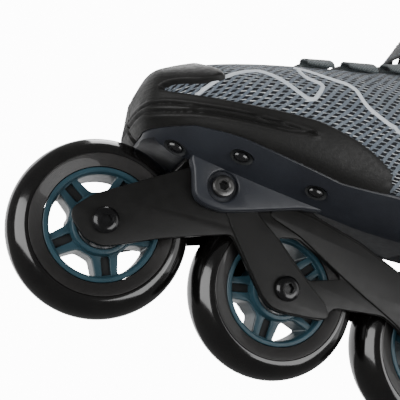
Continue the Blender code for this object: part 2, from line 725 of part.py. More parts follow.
TONGUE = (
    # station, outer offset, inner offset, reach round the section on each side of the crest
    (4.45, -2.6, -5.6, 0.085),
    (5.4, -2.6, -6.4, 0.092),
    (6.2, -2.6, -7.0, 0.096),
    (6.85, -2.6, -8.0, 0.098),
    (7.1, 3.0, -8.5, 0.094),
    (7.3, 7.5, -8.5, 0.090),
    (7.7, 12.0, -8.5, 0.088),
    (8.1, 14.5, -8.5, 0.088),
    (8.5, 20.0, -8.0, 0.088),
    (8.8, 18.0, -6.0, 0.080),
)
SHIN_PAD = (
    (11.1, 14.0, -2.0, 0.080),
    (11.4, 18.5, -4.0, 0.092),
    (12.2, 18.0, -4.5, 0.096),
    (13.1, 17.0, -4.5, 0.096),
    (13.7, 17.0, -4.0, 0.092),
    (13.95, 13.0, -2.0, 0.080),
)


def cushion(name, rows, mat):
    """A pad that follows the crest; each row gives its station, its two faces and its reach."""
    rings = []
    for u, outer, inner, reach in rows:
        outer_side = [boot(u, 0.5 + reach * s, MM * (inner + (outer - inner) * (1 - abs(s) ** 3)))
                      for s in spread(-0.98, 0.98, 7)]
        inner_side = [boot(u, 0.5 + reach * s, MM * inner) for s in spread(0.9, -0.9, 5)]
        rings.append(outer_side + inner_side)
    pad = loft(name, rings, mat, True, True, True)
    smooth(pad, 60)


# ---------------------------------------------------------------- lacing
LOOP_STATIONS = (4.97, 5.56, 6.15)
LOOP_HALF = 0.19
LOOP_SIDE = 0.064
LOOP_TOP = 0.0032


def make_lace_loops():
    """Webbing tabs beside the throat; each is a folded strip standing a little proud."""
    for side, sign in (("left", -1), ("right", 1)):
        for number, u in enumerate(LOOP_STATIONS, start=1):
            rings = []
            for s in spread(0.0, 0.034, 4):
                v = 0.5 + sign * (LOOP_SIDE + s)
                height = 0.0005 + LOOP_TOP * (1 - (s / 0.036) ** 2)
                low = [boot(u - LOOP_HALF, v, GAP), boot(u + LOOP_HALF, v, GAP)]
                high = [boot(u + LOOP_HALF, v, height), boot(u - LOOP_HALF, v, height)]
                rings.append(low + high)
            loop = loft(f"lace_loop_{side}_{number}", rings, WEBBING, True, True, True)
            fix_normals(loop)


def fix_normals(obj):
    bm = bmesh.new()
    bm.from_mesh(obj.data)
    bmesh.ops.recalc_face_normals(bm, faces=bm.faces)
    bm.to_mesh(obj.data)
    bm.free()


def tube(name, points, radius, mat):
    curve = bpy.data.curves.new(name, "CURVE")
    curve.dimensions = "3D"
    curve.bevel_depth = radius
    curve.bevel_resolution = 2
    curve.use_fill_caps = True
    spline = curve.splines.new("POLY")
    spline.points.add(len(points) - 1)
    for point, place in zip(spline.points, points):
        point.co = (*place, 1)
    obj = add_object(name, curve, mat)
    return bake(obj)


def make_lace():
    """The lace: side to side between the tabs, in front of the tongue, up the throat."""
    points = []
    side = -1
    for u in spread(4.75, 6.45, 7):
        for s in spread(-1, 1, 5):
            v = 0.5 + side * s * 0.049
            points.append(boot(u + 0.17 * (s + 1) / 2, v, 0.0022 + 0.0012 * (1 - s * s)))
        side = -side
    tube("lace", points, 0.0014, CORD)


# ---------------------------------------------------------------- straps and buckle
CUFF_STRAP_CENTRE = (68.0, 0.0, 268.0)
CUFF_STRAP_AXES = (90.0, 59.0)
BUCKLE_ANGLE = math.radians(62)


def strap_point(angle, out=0.0):
    """A point of the cuff strap's path seen from above; 0 is the front, positive the left side."""
    cx, cy, cz = CUFF_STRAP_CENTRE
    a, b = CUFF_STRAP_AXES
    normal = Vector((-math.cos(angle) / a, -math.sin(angle) / b, 0)).normalized()
    place = Vector((cx - a * math.cos(angle), cy - b * math.sin(angle), cz))
    return (place + normal * out) * MM


def ribbon(name, centres, across, mat, thickness):
    """A flat band: its middle line, the direction across it, and its thickness."""
    rings = [[c - a, c + a] for c, a in zip(centres, across)]
    band = loft(name, rings, mat, False)
    solidify(band, thickness)
    band = bake(band)
    fix_normals(band)
    return band


def make_cuff_strap():
    angles = spread(math.radians(-92), math.radians(80), 15)
    centres = [strap_point(a) for a in angles]
    ribbon("cuff_strap", centres, [Vector((0, 0, 0.010))] * len(angles), SHELL_PLASTIC, 0.0022)


def seat_box(name, low, high, mat, bevel=0.0):
    """A box in the buckle's own axes: x along the strap, y outward, z up, in millimetres."""
    bm = bmesh.new()
    bmesh.ops.create_cube(bm, size=1.0)
    low = Vector(low) * MM
    high = Vector(high) * MM
    bmesh.ops.scale(bm, verts=bm.verts, vec=high - low)
    bmesh.ops.translate(bm, verts=bm.verts, vec=(low + high) / 2)
    if bevel:
        bmesh.ops.bevel(bm, geom=bm.edges, offset=bevel, segments=1, affect="EDGES")
    mesh = bpy.data.meshes.new(name)
    bm.to_mesh(mesh)
    bm.free()
    obj = add_object(name, mesh, mat)
    obj.parent = buckle_seat
    return obj


def seat_rod(name, radius, low, high, x, y, mat):
    bm = bmesh.new()
    bmesh.ops.create_cone(bm, cap_ends=True, segments=12, radius1=radius, radius2=radius,
                          depth=(high - low) * MM)
    bmesh.ops.translate(bm, verts=bm.verts, vec=(x * MM, y * MM, (low + high) / 2 * MM))
    mesh = bpy.data.meshes.new(name)
    bm.to_mesh(mesh)
    bm.free()
    obj = add_object(name, mesh, mat)
    obj.parent = buckle_seat
    return obj


LEVER_PIVOT = (13.0, 6.5)


def make_buckle():
    """Base with two ears, a pin through them, and the lever that swings on the pin."""
    px, py = LEVER_PIVOT
    base = seat_box("buckle_base", (-30, 0.6, -12.5), (18, 3.0, 12.5), SHELL_PLASTIC)
    ears = [
        seat_box("ear_low", (px - 4.5, 2.5, -12.5), (px + 4.5, 10.5, -9.8), None),
        seat_box("ear_high", (px - 4.5, 2.5, 9.8), (px + 4.5, 10.5, 12.5), None),
    ]
    base = combine(base, "UNION", ears)
    combine(base, "DIFFERENCE", [seat_rod("ear_drill", 0.0017, -20, 20, px, py, None)])
    lever = seat_box("buckle_lever", (px - 44, py - 2.8, -9.3), (px + 2.5, py + 2.8, 9.3),
                     SHELL_PLASTIC, 0.0010)
    combine(lever, "DIFFERENCE", [seat_rod("lever_drill", 0.0017, -20, 20, px, py, None)])
    seat_rod("lever_pin", 0.0013, -12.9, 12.9, px, py, STEEL)


def make_instep_strap():
    """A band from one side of the heel, over the front of the tongue, to the other side."""
    centres = []
    across = []
    for angle in spread(math.radians(-90), math.radians(90), 15):
        x = 38 - 49.5 * math.cos(angle)
        y = -50.0 * math.sin(angle)
        z = 193 - 0.50 * (x + 20)
        centres.append(up(x, y, z))
        across.append(Vector((0.0040, 0, 0.0105)))
    for sign in (1, -1):
        y = -50.0 * sign
        end = [up(50, y * 0.985, 158), up(66, y * 0.955, 150)]
        if sign > 0:
            centres += end
            across += [Vector((0.0040, 0, 0.0105))] * 2
        else:
            centres = list(reversed(end)) + centres
            across = [Vector((0.0040, 0, 0.0105))] * 2 + across
    strap = ribbon("instep_strap", centres, across, WEBBING, 0.0022)
    smooth(strap, 40)


def make_pull_loop():
    """A webbing loop behind the collar's top."""
    centres = []
    for angle in spread(math.radians(-80), math.radians(80), 9):
        centres.append(up(150.5 + 12 * math.cos(angle), 0, 284 + 15 * math.sin(angle)))
    loop = ribbon("pull_loop", centres, [Vector((0, 0.007, 0))] * len(centres), WEBBING, 0.0016)
    smooth(loop, 40)


# ---------------------------------------------------------------- assembly
make_wheels()
make_frame()
make_base_plate()
make_mount_bolts()
make_toe_cap()
make_uppers()
make_insole()
drill_pivots(make_heel_counter(), 0.0040)
drill_pivots(make_cuff(), 0.0040)
make_pivots()
make_collar()
cushion("tongue", TONGUE, PADDING)
cushion("shin_pad", SHIN_PAD, PADDING)
make_lace_loops()
make_lace()
make_cuff_strap()
buckle_seat = bpy.data.objects.new("buckle_seat", None)
buckle_seat.parent = ground
buckle_seat.location = strap_point(BUCKLE_ANGLE, 0.0)
buckle_seat.rotation_euler = (0, 0, math.atan2(-CUFF_STRAP_AXES[1] * math.cos(BUCKLE_ANGLE),
                                               CUFF_STRAP_AXES[0] * math.sin(BUCKLE_ANGLE)) + math.pi)
skate_collection.objects.link(buckle_seat)
make_buckle()
make_instep_strap()
make_pull_loop()
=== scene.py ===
"""Looks of the left inline skate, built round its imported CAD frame.

Metres, +Z up, -X the toe, -Y the outer side.  Places named in millimetres are above the ground
under the wheels, which lies 102.5 mm below the foot bed; at_mm() turns them into the frame's metres.
"""
import math

import bmesh
import bpy
import numpy as np
from mathutils import Matrix, Vector


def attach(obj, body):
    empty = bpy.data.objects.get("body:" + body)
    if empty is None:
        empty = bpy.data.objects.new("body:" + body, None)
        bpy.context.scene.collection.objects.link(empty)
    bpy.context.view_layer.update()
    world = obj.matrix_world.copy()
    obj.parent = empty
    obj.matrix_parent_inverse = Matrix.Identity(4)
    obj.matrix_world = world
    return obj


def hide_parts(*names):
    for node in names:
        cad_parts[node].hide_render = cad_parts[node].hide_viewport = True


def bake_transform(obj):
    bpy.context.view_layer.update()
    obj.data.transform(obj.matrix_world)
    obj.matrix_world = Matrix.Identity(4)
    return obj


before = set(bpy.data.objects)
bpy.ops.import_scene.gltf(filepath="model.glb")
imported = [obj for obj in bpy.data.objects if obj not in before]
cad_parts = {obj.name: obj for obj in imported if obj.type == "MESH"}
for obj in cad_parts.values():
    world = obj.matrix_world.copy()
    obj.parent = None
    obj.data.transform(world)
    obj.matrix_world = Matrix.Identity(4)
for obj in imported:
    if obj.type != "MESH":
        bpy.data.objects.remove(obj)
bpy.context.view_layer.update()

MM = 0.001
FOOT_BED = 102.5
GROUND = -FOOT_BED * MM
AXLE_HEIGHT = 40.0
AXLE_XS = (-127.5, -42.5, 42.5, 127.5)
FULL_TURN = 2 * math.pi


def at_mm(points):
    """Millimetres above the ground to the frame's metres."""
    return (np.asarray(points, float) - (0.0, 0.0, FOOT_BED)) * MM


# ---------------------------------------------------------------- materials
def tone(red, green, blue):
    """A screen colour, 0 to 255, as the linear colour that a shader takes."""
    linear = []
    for c in (red, green, blue):
        c /= 255
        linear.append(c / 12.92 if c <= 0.04045 else ((c + 0.055) / 1.055) ** 2.4)
    return (*linear, 1.0)


class Finish:
    """One procedural material, and short ways to add nodes to it."""

    def __init__(self, name, metallic=0.0, coat=0.0, coat_roughness=0.1, sheen=0.0, specular=0.5):
        self.mat = bpy.data.materials.new(name)
        self.mat.use_nodes = True
        self.tree = self.mat.node_tree
        self.shader = self.tree.nodes["Principled BSDF"]
        for socket, value in (("Metallic", metallic), ("Coat Weight", coat), ("Sheen Weight", sheen),
                              ("Coat Roughness", coat_roughness), ("Specular IOR Level", specular)):
            self.shader.inputs[socket].default_value = value
        self.place = self.add("ShaderNodeTexCoord").outputs["Object"]

    def add(self, kind, *inputs, **settings):
        node = self.tree.nodes.new(kind)
        for key, value in settings.items():
            setattr(node, key, value)
        for socket, value in zip(node.inputs, inputs):
            self.feed(socket, value)
        return node

    def feed(self, socket, value):
        if value is None:
            return
        if isinstance(value, bpy.types.NodeSocket):
            self.tree.links.new(value, socket)
        else:
            socket.default_value = value

    def math(self, operation, a, b=0.0):
        return self.add("ShaderNodeMath", a, b, operation=operation).outputs[0]

    def times(self, a, b):
        return self.math("MULTIPLY", a, b)

    def plus(self, a, b):
        return self.math("ADD", a, b)

    def minus(self, a, b):
        return self.math("SUBTRACT", a, b)

    def axes(self, vector):
        return self.add("ShaderNodeSeparateXYZ", vector).outputs[:3]

    def noise(self, per_mm, detail=2.0, vector=None, stretch=None):
        vector = vector or self.place
        if stretch:
            vector = self.add("ShaderNodeVectorMath", vector, stretch, operation="MULTIPLY").outputs[0]
        node = self.add("ShaderNodeTexNoise")
        self.feed(node.inputs["Vector"], vector)
        self.feed(node.inputs["Scale"], per_mm * 1000)
        self.feed(node.inputs["Detail"], detail)
        return node.outputs[0]

    def span(self, value, low, high, to_low=0.0, to_high=1.0, smooth=True):
        node = self.add("ShaderNodeMapRange", value, low, high, to_low, to_high,
                        interpolation_type="SMOOTHSTEP" if smooth else "LINEAR")
        return node.outputs[0]

    def mix(self, factor, a, b):
        """Blend two colours; a colour in brackets is a screen colour."""
        node = self.add("ShaderNodeMix", data_type="RGBA")
        self.feed(node.inputs[0], factor)
        for socket, value in zip(node.inputs[6:8], (a, b)):
            self.feed(socket, tone(*value) if isinstance(value, tuple) else value)
        return node.outputs[2]

    def color(self, value):
        self.feed(self.shader.inputs["Base Color"], value)

    def rough(self, value):
        self.feed(self.shader.inputs["Roughness"], value)

    def bump(self, height, distance_mm, strength=1.0):
        node = self.add("ShaderNodeBump")
        self.feed(node.inputs["Strength"], strength)
        self.feed(node.inputs["Distance"], distance_mm * MM)
        self.feed(node.inputs["Height"], height)
        if self.shader.inputs["Normal"].is_linked:
            self.feed(node.inputs["Normal"], self.shader.inputs["Normal"].links[0].from_socket)
        self.feed(self.shader.inputs["Normal"], node.outputs[0])


def mottle(finish, dark, light, rough, cloud, scuff, grain, depth, smooth=False):
    """Cloudy colour, slightly uneven gloss, and a fine grain on a finish."""
    finish.color(finish.mix(finish.span(finish.noise(*cloud), 0.3, 0.7), dark, light))
    finish.rough(finish.span(finish.noise(*scuff), 0.25, 0.8, *rough, smooth=smooth))
    finish.bump(finish.noise(*grain), depth)


def plastic(name, dark, light, rough, grain=1.6, depth=0.05, wear=0.08, **settings):
    """Moulded plastic or paint, a little worn by handling."""
    finish = Finish(name, **settings)
    mottle(finish, dark, light, (rough - wear / 2, rough + wear), (0.035, 3), (0.25, 5), (grain, 3), depth)
    return finish.mat


def metal(name, dark, light, rough):
    finish = Finish(name, metallic=1.0)
    brushed = finish.noise(0.5, 3, stretch=(1.0, 9.0, 1.0))
    finish.color(finish.mix(brushed, dark, light))
    finish.rough(finish.span(brushed, 0.3, 0.75, rough, rough + 0.15))
    finish.bump(finish.noise(1.2, 3, stretch=(1.0, 9.0, 1.0)), 0.012)
    return finish.mat


def arc_coordinates(finish):
    """The piece's own lengths in millimetres, along it and across it."""
    return finish.axes(finish.add("ShaderNodeUVMap", uv_map="arc").outputs[0])[:2]


def from_middle(finish, value, period):
    """How far a value is from the middle of its period, as a share of the period."""
    share = finish.math("FRACT", finish.math("DIVIDE", value, period))
    return finish.math("ABSOLUTE", finish.minus(share, 0.5))


def stripe(finish, value, period, width, soft=0.12):
    """1 on stripes of a share of each period, with soft edges."""
    return finish.span(from_middle(finish, value, period), width / 2 - soft, width / 2 + soft, 1.0, 0.0)


def woven(name, dark, light, rib=1.5, pick=0.9, depth=0.25):
    """Webbing: ribs along the band crossed by fine picks."""
    finish = Finish(name, sheen=0.25)
    along, across = arc_coordinates(finish)
    slant = finish.plus(across, finish.times(along, 0.8))
    ribs = stripe(finish, slant, rib, 0.6, 0.2)
    picks = stripe(finish, finish.minus(along, finish.times(across, 0.3)),
                   pick, 0.6, 0.2)
    height = finish.times(ribs, finish.plus(picks, 0.4))
    fuzz = finish.noise(1.1, 4)
    shade = finish.times(height, finish.span(fuzz, 0.2, 0.8, 0.6, 1.1))
    finish.color(finish.mix(shade, dark, light))
    finish.rough(finish.span(fuzz, 0.2, 0.8, 0.75, 0.95))
    finish.bump(height, depth)
    finish.bump(fuzz, 0.05)
    return finish.mat


def soft_fabric(name, dark, light, mesh_mm=1.3, depth=0.18):
    """Spacer fabric or brushed lining: small round cells with fuzz; needs no lengths."""
    finish = Finish(name, sheen=0.35)
    cells = finish.add("ShaderNodeTexVoronoi", feature="F1")
    finish.feed(cells.inputs["Vector"], finish.place)
    finish.feed(cells.inputs["Scale"], 1000 / mesh_mm)
    finish.feed(cells.inputs["Randomness"], 0.35)
    height = finish.span(cells.outputs["Distance"], 0.1, 0.55, 0.0, 1.0)
    fuzz = finish.noise(1.4, 4)
    worn = finish.noise(0.03, 3)
    base = finish.mix(finish.span(worn, 0.35, 0.7), dark, light)
    finish.color(finish.mix(finish.times(height, finish.span(fuzz, 0.2, 0.8, 0.4, 0.9)),
                            (14, 15, 17), base))
    finish.rough(finish.span(fuzz, 0.2, 0.8, 0.82, 0.97))
    finish.bump(height, depth)
    finish.bump(fuzz, 0.06)
    return finish.mat


KNIT_COLUMN = 3.46
KNIT_HOLE = 2.4


def knit():
    """Open knit: slanting columns of small rectangular holes between pale twisted yarns."""
    finish = Finish("open_knit", sheen=0.05)
    along, around = arc_coordinates(finish)
    drift = finish.span(finish.noise(0.12, 2), 0.3, 0.7, -0.35, 0.35)
    slant = math.sqrt(0.5)
    run = finish.times(finish.plus(along, around), slant)
    over = finish.times(finish.minus(around, along), slant)
    over = finish.plus(over, drift)
    column = finish.math("FLOOR", finish.math("DIVIDE", over, KNIT_COLUMN))
    shift = finish.add("ShaderNodeTexWhiteNoise", noise_dimensions="1D")
    finish.feed(shift.inputs["W"], column)
    run = finish.plus(run, finish.times(shift.outputs["Value"], 2.3))
    level = finish.plus(run, finish.times(over, 0.8))
    side = finish.span(finish.math("ABSOLUTE", around), 6.0, 22.0, 0.17, 0.27)
    away = from_middle(finish, over, KNIT_COLUMN)
    band = finish.span(finish.minus(side, away), -0.05, 0.05)
    holes = finish.times(band, stripe(finish, level, KNIT_HOLE, 0.74, 0.08))
    dashes = finish.minus(band, holes)
    yarn = stripe(finish, finish.plus(run, finish.times(over, 0.6)), 0.68, 0.5, 0.25)
    fuzz = finish.noise(1.3, 4)
    patch = finish.noise(0.05, 3)
    thread = finish.mix(finish.span(patch, 0.3, 0.7), (106, 116, 128), (126, 135, 144))
    thread = finish.mix(finish.times(yarn, 0.45), thread, (84, 94, 106))
    thread = finish.mix(finish.span(fuzz, 0.58, 0.76, 0.0, 0.6), thread, (204, 210, 214))
    lit = finish.span(finish.noise(0.22, 2), 0.42, 0.58, 0.15, 1.0)
    thread = finish.mix(finish.times(dashes, lit), thread, (232, 236, 238))
    finish.color(finish.mix(holes, thread, (13, 17, 25)))
    finish.rough(finish.span(fuzz, 0.2, 0.8, 0.78, 0.95))
    height = finish.minus(finish.plus(1.0, finish.times(yarn, 0.25)), holes)
    finish.bump(height, 0.55)
    finish.bump(fuzz, 0.08)
    return finish.mat


SATIN_EDGE = (0.0306, 0.0312)
TURNED_LINE = 0.00055


def tyre_finish():
    """Poured urethane: a satin side band with fine turned lines, and a polished tread."""
    finish = Finish("tyre_urethane", coat=0.3, coat_roughness=0.05, specular=0.6)
    x, _, z = finish.axes(finish.place)
    squares = finish.plus(finish.times(x, x), finish.times(z, z))
    radius = finish.math("SQRT", squares)
    band = finish.span(radius, *SATIN_EDGE, 1.0, 0.0)
    lines = finish.math("SINE", finish.times(radius, FULL_TURN / TURNED_LINE))
    dust = finish.noise(0.08, 4)
    body = finish.mix(finish.span(dust, 0.35, 0.7), (10, 9, 9), (17, 16, 15))
    satin = finish.mix(finish.span(dust, 0.3, 0.7), (15, 13, 12), (23, 20, 19))
    finish.color(finish.mix(band, body, satin))
    scuff = finish.span(finish.noise(0.4, 5), 0.3, 0.8, 0.0, 0.06)
    finish.rough(finish.plus(finish.times(band, 0.28), finish.plus(scuff, 0.12)))
    finish.bump(finish.times(band, lines), 0.03)
    finish.bump(finish.noise(0.9, 3), 0.006)
    return finish.mat


def cord_finish():
    """Round braid: two crossing sets of yarns, in the piece's own lengths."""
    finish = Finish("braided_cord", sheen=0.2)
    along, around = arc_coordinates(finish)
    one = finish.math("SINE", finish.times(finish.plus(along, around), 3.6))
    two = finish.math("SINE", finish.times(finish.minus(along, around), 3.6))
    height = finish.math("MAXIMUM", one, two)
    fuzz = finish.noise(1.5, 3)
    finish.color(finish.mix(finish.span(height, 0.0, 1.0), (10, 10, 11), (46, 47, 49)))
    finish.rough(finish.span(fuzz, 0.2, 0.8, 0.7, 0.9))
    finish.bump(height, 0.2)
    return finish.mat


def rubber():
    """Toe cap rubber: matte, lightly pebbled, with fine strokes on the nose."""
    finish = Finish("toe_rubber", sheen=0.05, specular=0.35)
    mottle(finish, (14, 14, 13), (22, 21, 20), (0.46, 0.62), (0.03, 4), (0.5, 5), (1.0, 4), 0.10, True)
    nose = finish.span(finish.axes(finish.place)[0], -0.130, -0.118, 1.0, 0.0)
    strokes = finish.noise(0.8, 2, stretch=(0.15, 0.15, 1.6))
    finish.bump(finish.times(nose, strokes), 0.3)
    return finish.mat


def hub_finish():
    """The hubs' blue-grey nylon."""
    finish = Finish("hub_nylon", coat=0.1, coat_roughness=0.25, specular=0.35)
    mottle(finish, (34, 60, 70), (44, 73, 84), (0.30, 0.44), (0.06, 3), (0.5, 4), (1.4, 3), 0.03)
    return finish.mat


TYRE = tyre_finish()
HUB = hub_finish()
# Near black, painted shade: the hub cores seen at the bottoms of the spoke slots, and the cups that line the
# rivet hollows.
RECESS_SHADE = plastic("painted_recess_shade", (9, 12, 14), (14, 18, 20), 0.7)
STEEL = metal("brushed_steel", (150, 150, 152), (205, 205, 206), 0.24)
DARK_STEEL = metal("oiled_steel", (78, 78, 78), (128, 127, 126), 0.3)
SHIELD = plastic("bearing_shield", (28, 30, 33), (38, 40, 43), 0.35, metallic=0.6)
# Black steel; also the socket floors of the mount bolts and pivots, as painted shade.
BLACK_STEEL = plastic("black_steel", (16, 16, 17), (26, 26, 27), 0.22, 0.6, 0.02, metallic=0.5,
                      coat=0.4)
FRAME_PAINT = plastic("frame_paint", (9, 9, 8), (14, 13, 12), 0.42, 1.8, 0.035, specular=0.4)
SOLE = plastic("sole_nylon", (33, 35, 41), (41, 44, 50), 0.40, 1.3, 0.06)
# Glossy black rivets; also the axle bolts' socket floors, as painted shade.
SOLE_DARK = plastic("rivet_black", (12, 12, 13), (20, 20, 22), 0.16, 0.8, 0.01, coat=0.5)
RUBBER = rubber()
KNIT = knit()
PALE = plastic("welded_line", (200, 208, 216), (222, 228, 234), 0.5, 1.6, 0.05)
LINING = soft_fabric("lining", (30, 32, 35), (46, 48, 52), 0.9)
PAD_FABRIC = soft_fabric("pad_mesh", (38, 41, 45), (58, 62, 67))
FOAM = soft_fabric("foot_bed", (52, 56, 60), (70, 74, 78), 0.8, 0.08)
SHELL = plastic("shell_nylon", (34, 37, 41), (44, 47, 52), 0.38, 1.2, 0.07)
TRIM = plastic("shell_accent", (120, 132, 140), (138, 148, 156), 0.4, 1.2, 0.05)
LOOP_WEB = woven("loop_webbing", (40, 50, 52), (84, 95, 98), 1.2, 0.8)
STRAP_WEB = woven("strap_webbing", (13, 14, 16), (40, 42, 46))
CORD = cord_finish()
THREAD = plastic("thread", (96, 104, 112), (140, 146, 152), 0.8, 1.5, 0.05)


# ---------------------------------------------------------------- mesh helpers
TOUCHING = 1e-6
SIDES = (("left", -1), ("right", 1))
SIDE_VIEW = Matrix.Rotation(math.pi / 2, 4, "X")


def set_material(obj, mat):
    obj.data.materials.clear()
    obj.data.materials.append(mat)
    return obj


def new_object(name, data, mat=None, place=(0, 0, 0)):
    obj = bpy.data.objects.new(name, data)
    obj.location = place
    bpy.context.scene.collection.objects.link(obj)
    return set_material(obj, mat) if mat else obj


def smooth(obj, degrees=35):
    obj.data.shade_smooth()
    obj.data.set_sharp_from_angle(angle=math.radians(degrees))
    return obj


def surface(name, points, mat, lengths=None, closed=False, caps=False):
    """A mesh over a grid of points; lengths gives each point's own place in millimetres."""
    rows, cols = points.shape[:2]
    index = np.arange(rows * cols).reshape(rows, cols)
    if closed:
        index = np.concatenate([index, index[:, :1]], axis=1)
    quads = np.stack([index[:-1, :-1], index[1:, :-1], index[1:, 1:], index[:-1, 1:]], -1)
    faces = quads.reshape(-1, 4).tolist()
    if caps:
        faces.append(index[0, :cols].tolist())
        faces.append(index[-1, :cols][::-1].tolist())
    mesh = bpy.data.meshes.new(name)
    mesh.from_pydata(points.reshape(-1, 3).tolist(), [], faces)
    if lengths is not None:
        layer = mesh.uv_layers.new(name="arc")
        corners = np.zeros(len(mesh.loops), np.int32)
        mesh.loops.foreach_get("vertex_index", corners)
        layer.data.foreach_set("uv", lengths.reshape(-1, 2)[corners].astype(np.float32).ravel())
    mesh.validate()
    obj = new_object(name, mesh, mat)
    smooth(obj, 50)
    return obj


def weld(obj, distance):
    """Merge the points that lie nearer than a distance in metres."""
    bm = bmesh.new()
    bm.from_mesh(obj.data)
    bmesh.ops.remove_doubles(bm, verts=bm.verts, dist=distance)
    bm.to_mesh(obj.data)
    bm.free()
    return obj


def face_outward(obj):
    bm = bmesh.new()
    bm.from_mesh(obj.data)
    bmesh.ops.recalc_face_normals(bm, faces=bm.faces)
    bm.to_mesh(obj.data)
    bm.free()
    return obj


def settle(obj):
    """Apply an object's modifiers and turn a curve into a mesh, in place."""
    bpy.context.view_layer.update()
    evaluated = obj.evaluated_get(bpy.context.evaluated_depsgraph_get())
    mesh = bpy.data.meshes.new_from_object(evaluated)
    mesh.transform(obj.matrix_world)
    name = obj.name
    bpy.data.objects.remove(obj, do_unlink=True)
    return new_object(name, mesh)


def join(name, objects, degrees=35):
    """One object from several, keeping each one's materials."""
    target = objects[0]
    with bpy.context.temp_override(active_object=target, object=target,
                                   selected_objects=objects, selected_editable_objects=objects):
        bpy.ops.object.join()
    target.name = name
    return smooth(target, degrees)


def fillet(points, cut, steps=4, closed=True):
    """Round a polygon's corners, each cut back by a distance."""
    points = [np.array(p, float) for p in points]
    result = []
    count = len(points)
    for i, corner in enumerate(points):
        if not closed and i in (0, count - 1):
            result.append(tuple(corner))
            continue
        to_before = points[i - 1] - corner
        to_after = points[(i + 1) % count] - corner
        before, after = np.linalg.norm(to_before), np.linalg.norm(to_after)
        reach = min(cut, before * 0.48, after * 0.48)
        start = corner + to_before / before * reach
        end = corner + to_after / after * reach
        for t in np.linspace(0, 1, steps + 1):
            result.append(tuple((1 - t) ** 2 * start + 2 * t * (1 - t) * corner + t * t * end))
    return result


def slab(name, outline, low, high, mat, holes=(), bevel=0.0):
    """A flat outline in millimetres, from low to high along local Z, with rounded rims."""
    curve = bpy.data.curves.new(name, "CURVE")
    curve.dimensions = "2D"
    curve.fill_mode = "BOTH"
    curve.extrude = ((high - low) / 2 - bevel) * MM
    curve.bevel_depth = bevel * MM
    curve.bevel_resolution = 2
    curve.offset = -bevel * MM
    for loop in (outline, *holes):
        spline = curve.splines.new("POLY")
        spline.points.add(len(loop) - 1)
        for point, (x, z) in zip(spline.points, loop):
            point.co = (x * MM, z * MM, 0, 1)
        spline.use_cyclic_u = True
    obj = settle(new_object(name, curve, place=(0, 0, (low + high) / 2 * MM)))
    return smooth(weld(set_material(obj, mat), 2 * TOUCHING), 32)


def side_pair(name, outline, inner, outer, mat, holes=(), bevel=0.0):
    """The same side slab on the outer side and on the inner side."""
    return [side_slab(f"{name}_left", outline, -outer, -inner, mat, holes, bevel),
            side_slab(f"{name}_right", outline, inner, outer, mat, holes, bevel)]


def across_skate(obj, place):
    """Turn a part's axis to lie across the skate, and put it in place."""
    obj.data.transform(SIDE_VIEW)
    obj.location = place
    return obj


def side_slab(name, outline, near, far, mat, holes=(), bevel=0.0):
    """A slab seen from the skate's side: outline in x and height above the ground, y near to far."""
    obj = slab(name, outline, -far, -near, mat, holes, bevel)
    obj.data.transform(Matrix.Translation((0, 0, GROUND)) @ SIDE_VIEW)
    return obj


def circle(x, z, radius, sides=48, phase=0.0):
    angles = [phase + FULL_TURN * i / sides for i in range(sides)]
    return [(x + radius * math.cos(a), z + radius * math.sin(a)) for a in angles]


def lathe(name, profile, mat, segments=96, closed=False):
    """Turn a profile of (radius, height) in millimetres about local Z."""
    profile = np.array(profile, float)
    angles = np.linspace(0, FULL_TURN, segments, endpoint=False)
    ring = np.stack([np.cos(angles), np.sin(angles), np.zeros(segments)], -1)
    points = profile[:, None, :1] * ring[None] + profile[:, None, 1:] * np.array([0, 0, 1.0])
    if closed:
        points = np.concatenate([points, points[:1]])
    obj = surface(name, points * MM, mat, closed=True)
    return smooth(face_outward(weld(obj, TOUCHING)), 30)


def mirrored(profile, middle=()):
    """A profile and its mirror image, for something the same on both faces."""
    return [*profile, *middle, *((r, -h) for r, h in reversed(profile))]


def socket_head(profile, mat, radius, low, high, key, floor, floor_shade_mat, key_turn=0.0):
    """A screw's head: the turned outside, the hexagon socket, and the socket's floor in a darker finish as
    painted shade at the bottom of the socket.
    """
    return [lathe("head", profile, mat, 64),
            slab("socket", circle(0, 0, radius, 36), low, high, mat, [circle(0, 0, key, 6, key_turn)]),
            # The socket's floor is a disc of a darker finish: painted shade at the bottom of the socket.
            slab("socket_floor_shade", circle(0, 0, radius - 0.1, 36), *floor, floor_shade_mat)]


def turn_to(obj, place, direction):
    """Move an object so that its local Z points along a direction, at a place in metres."""
    turn = Vector(direction).to_track_quat("Z", "Y").to_matrix().to_4x4()
    obj.matrix_world = Matrix.Translation(place) @ turn
    return obj


def apply_place(obj):
    bpy.context.view_layer.update()
    obj.data.transform(obj.matrix_world)
    obj.matrix_world = Matrix.Identity(4)
    return obj


def cut(obj, cutter):
    modifier = obj.modifiers.new("cut", "BOOLEAN")
    modifier.operation = "DIFFERENCE"
    modifier.object = cutter
    modifier.solver = "EXACT"
    name = obj.name
    obj = settle(obj)
    obj.name = name
    bpy.data.objects.remove(cutter, do_unlink=True)
    return obj


def box_object(name, low, high):
    bm = bmesh.new()
    bmesh.ops.create_cube(bm, size=1.0)
    low, high = Vector(low), Vector(high)
    bmesh.ops.scale(bm, verts=bm.verts, vec=high - low)
    bmesh.ops.translate(bm, verts=bm.verts, vec=(low + high) / 2)
    mesh = bpy.data.meshes.new(name)
    bm.to_mesh(mesh)
    bm.free()
    return new_object(name, mesh)


def finish_piece(obj, body, slot, *nodes):
    """Attach a piece to its body, and let it stand for CAD nodes; the slot is not used."""
    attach(obj, body)
    if nodes:
        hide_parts(*nodes)
    return obj


# ---------------------------------------------------------------- lines and lengths
def run_along(line):
    """The length from a line's first point to each of its points."""
    return np.concatenate([[0], np.cumsum(np.linalg.norm(np.diff(line, axis=0), axis=-1))])


def read_at(length, run, rows):
    """A line's rows, such as its points, at lengths along it."""
    return np.stack([np.interp(length, run, rows[:, k]) for k in range(rows.shape[1])], -1)


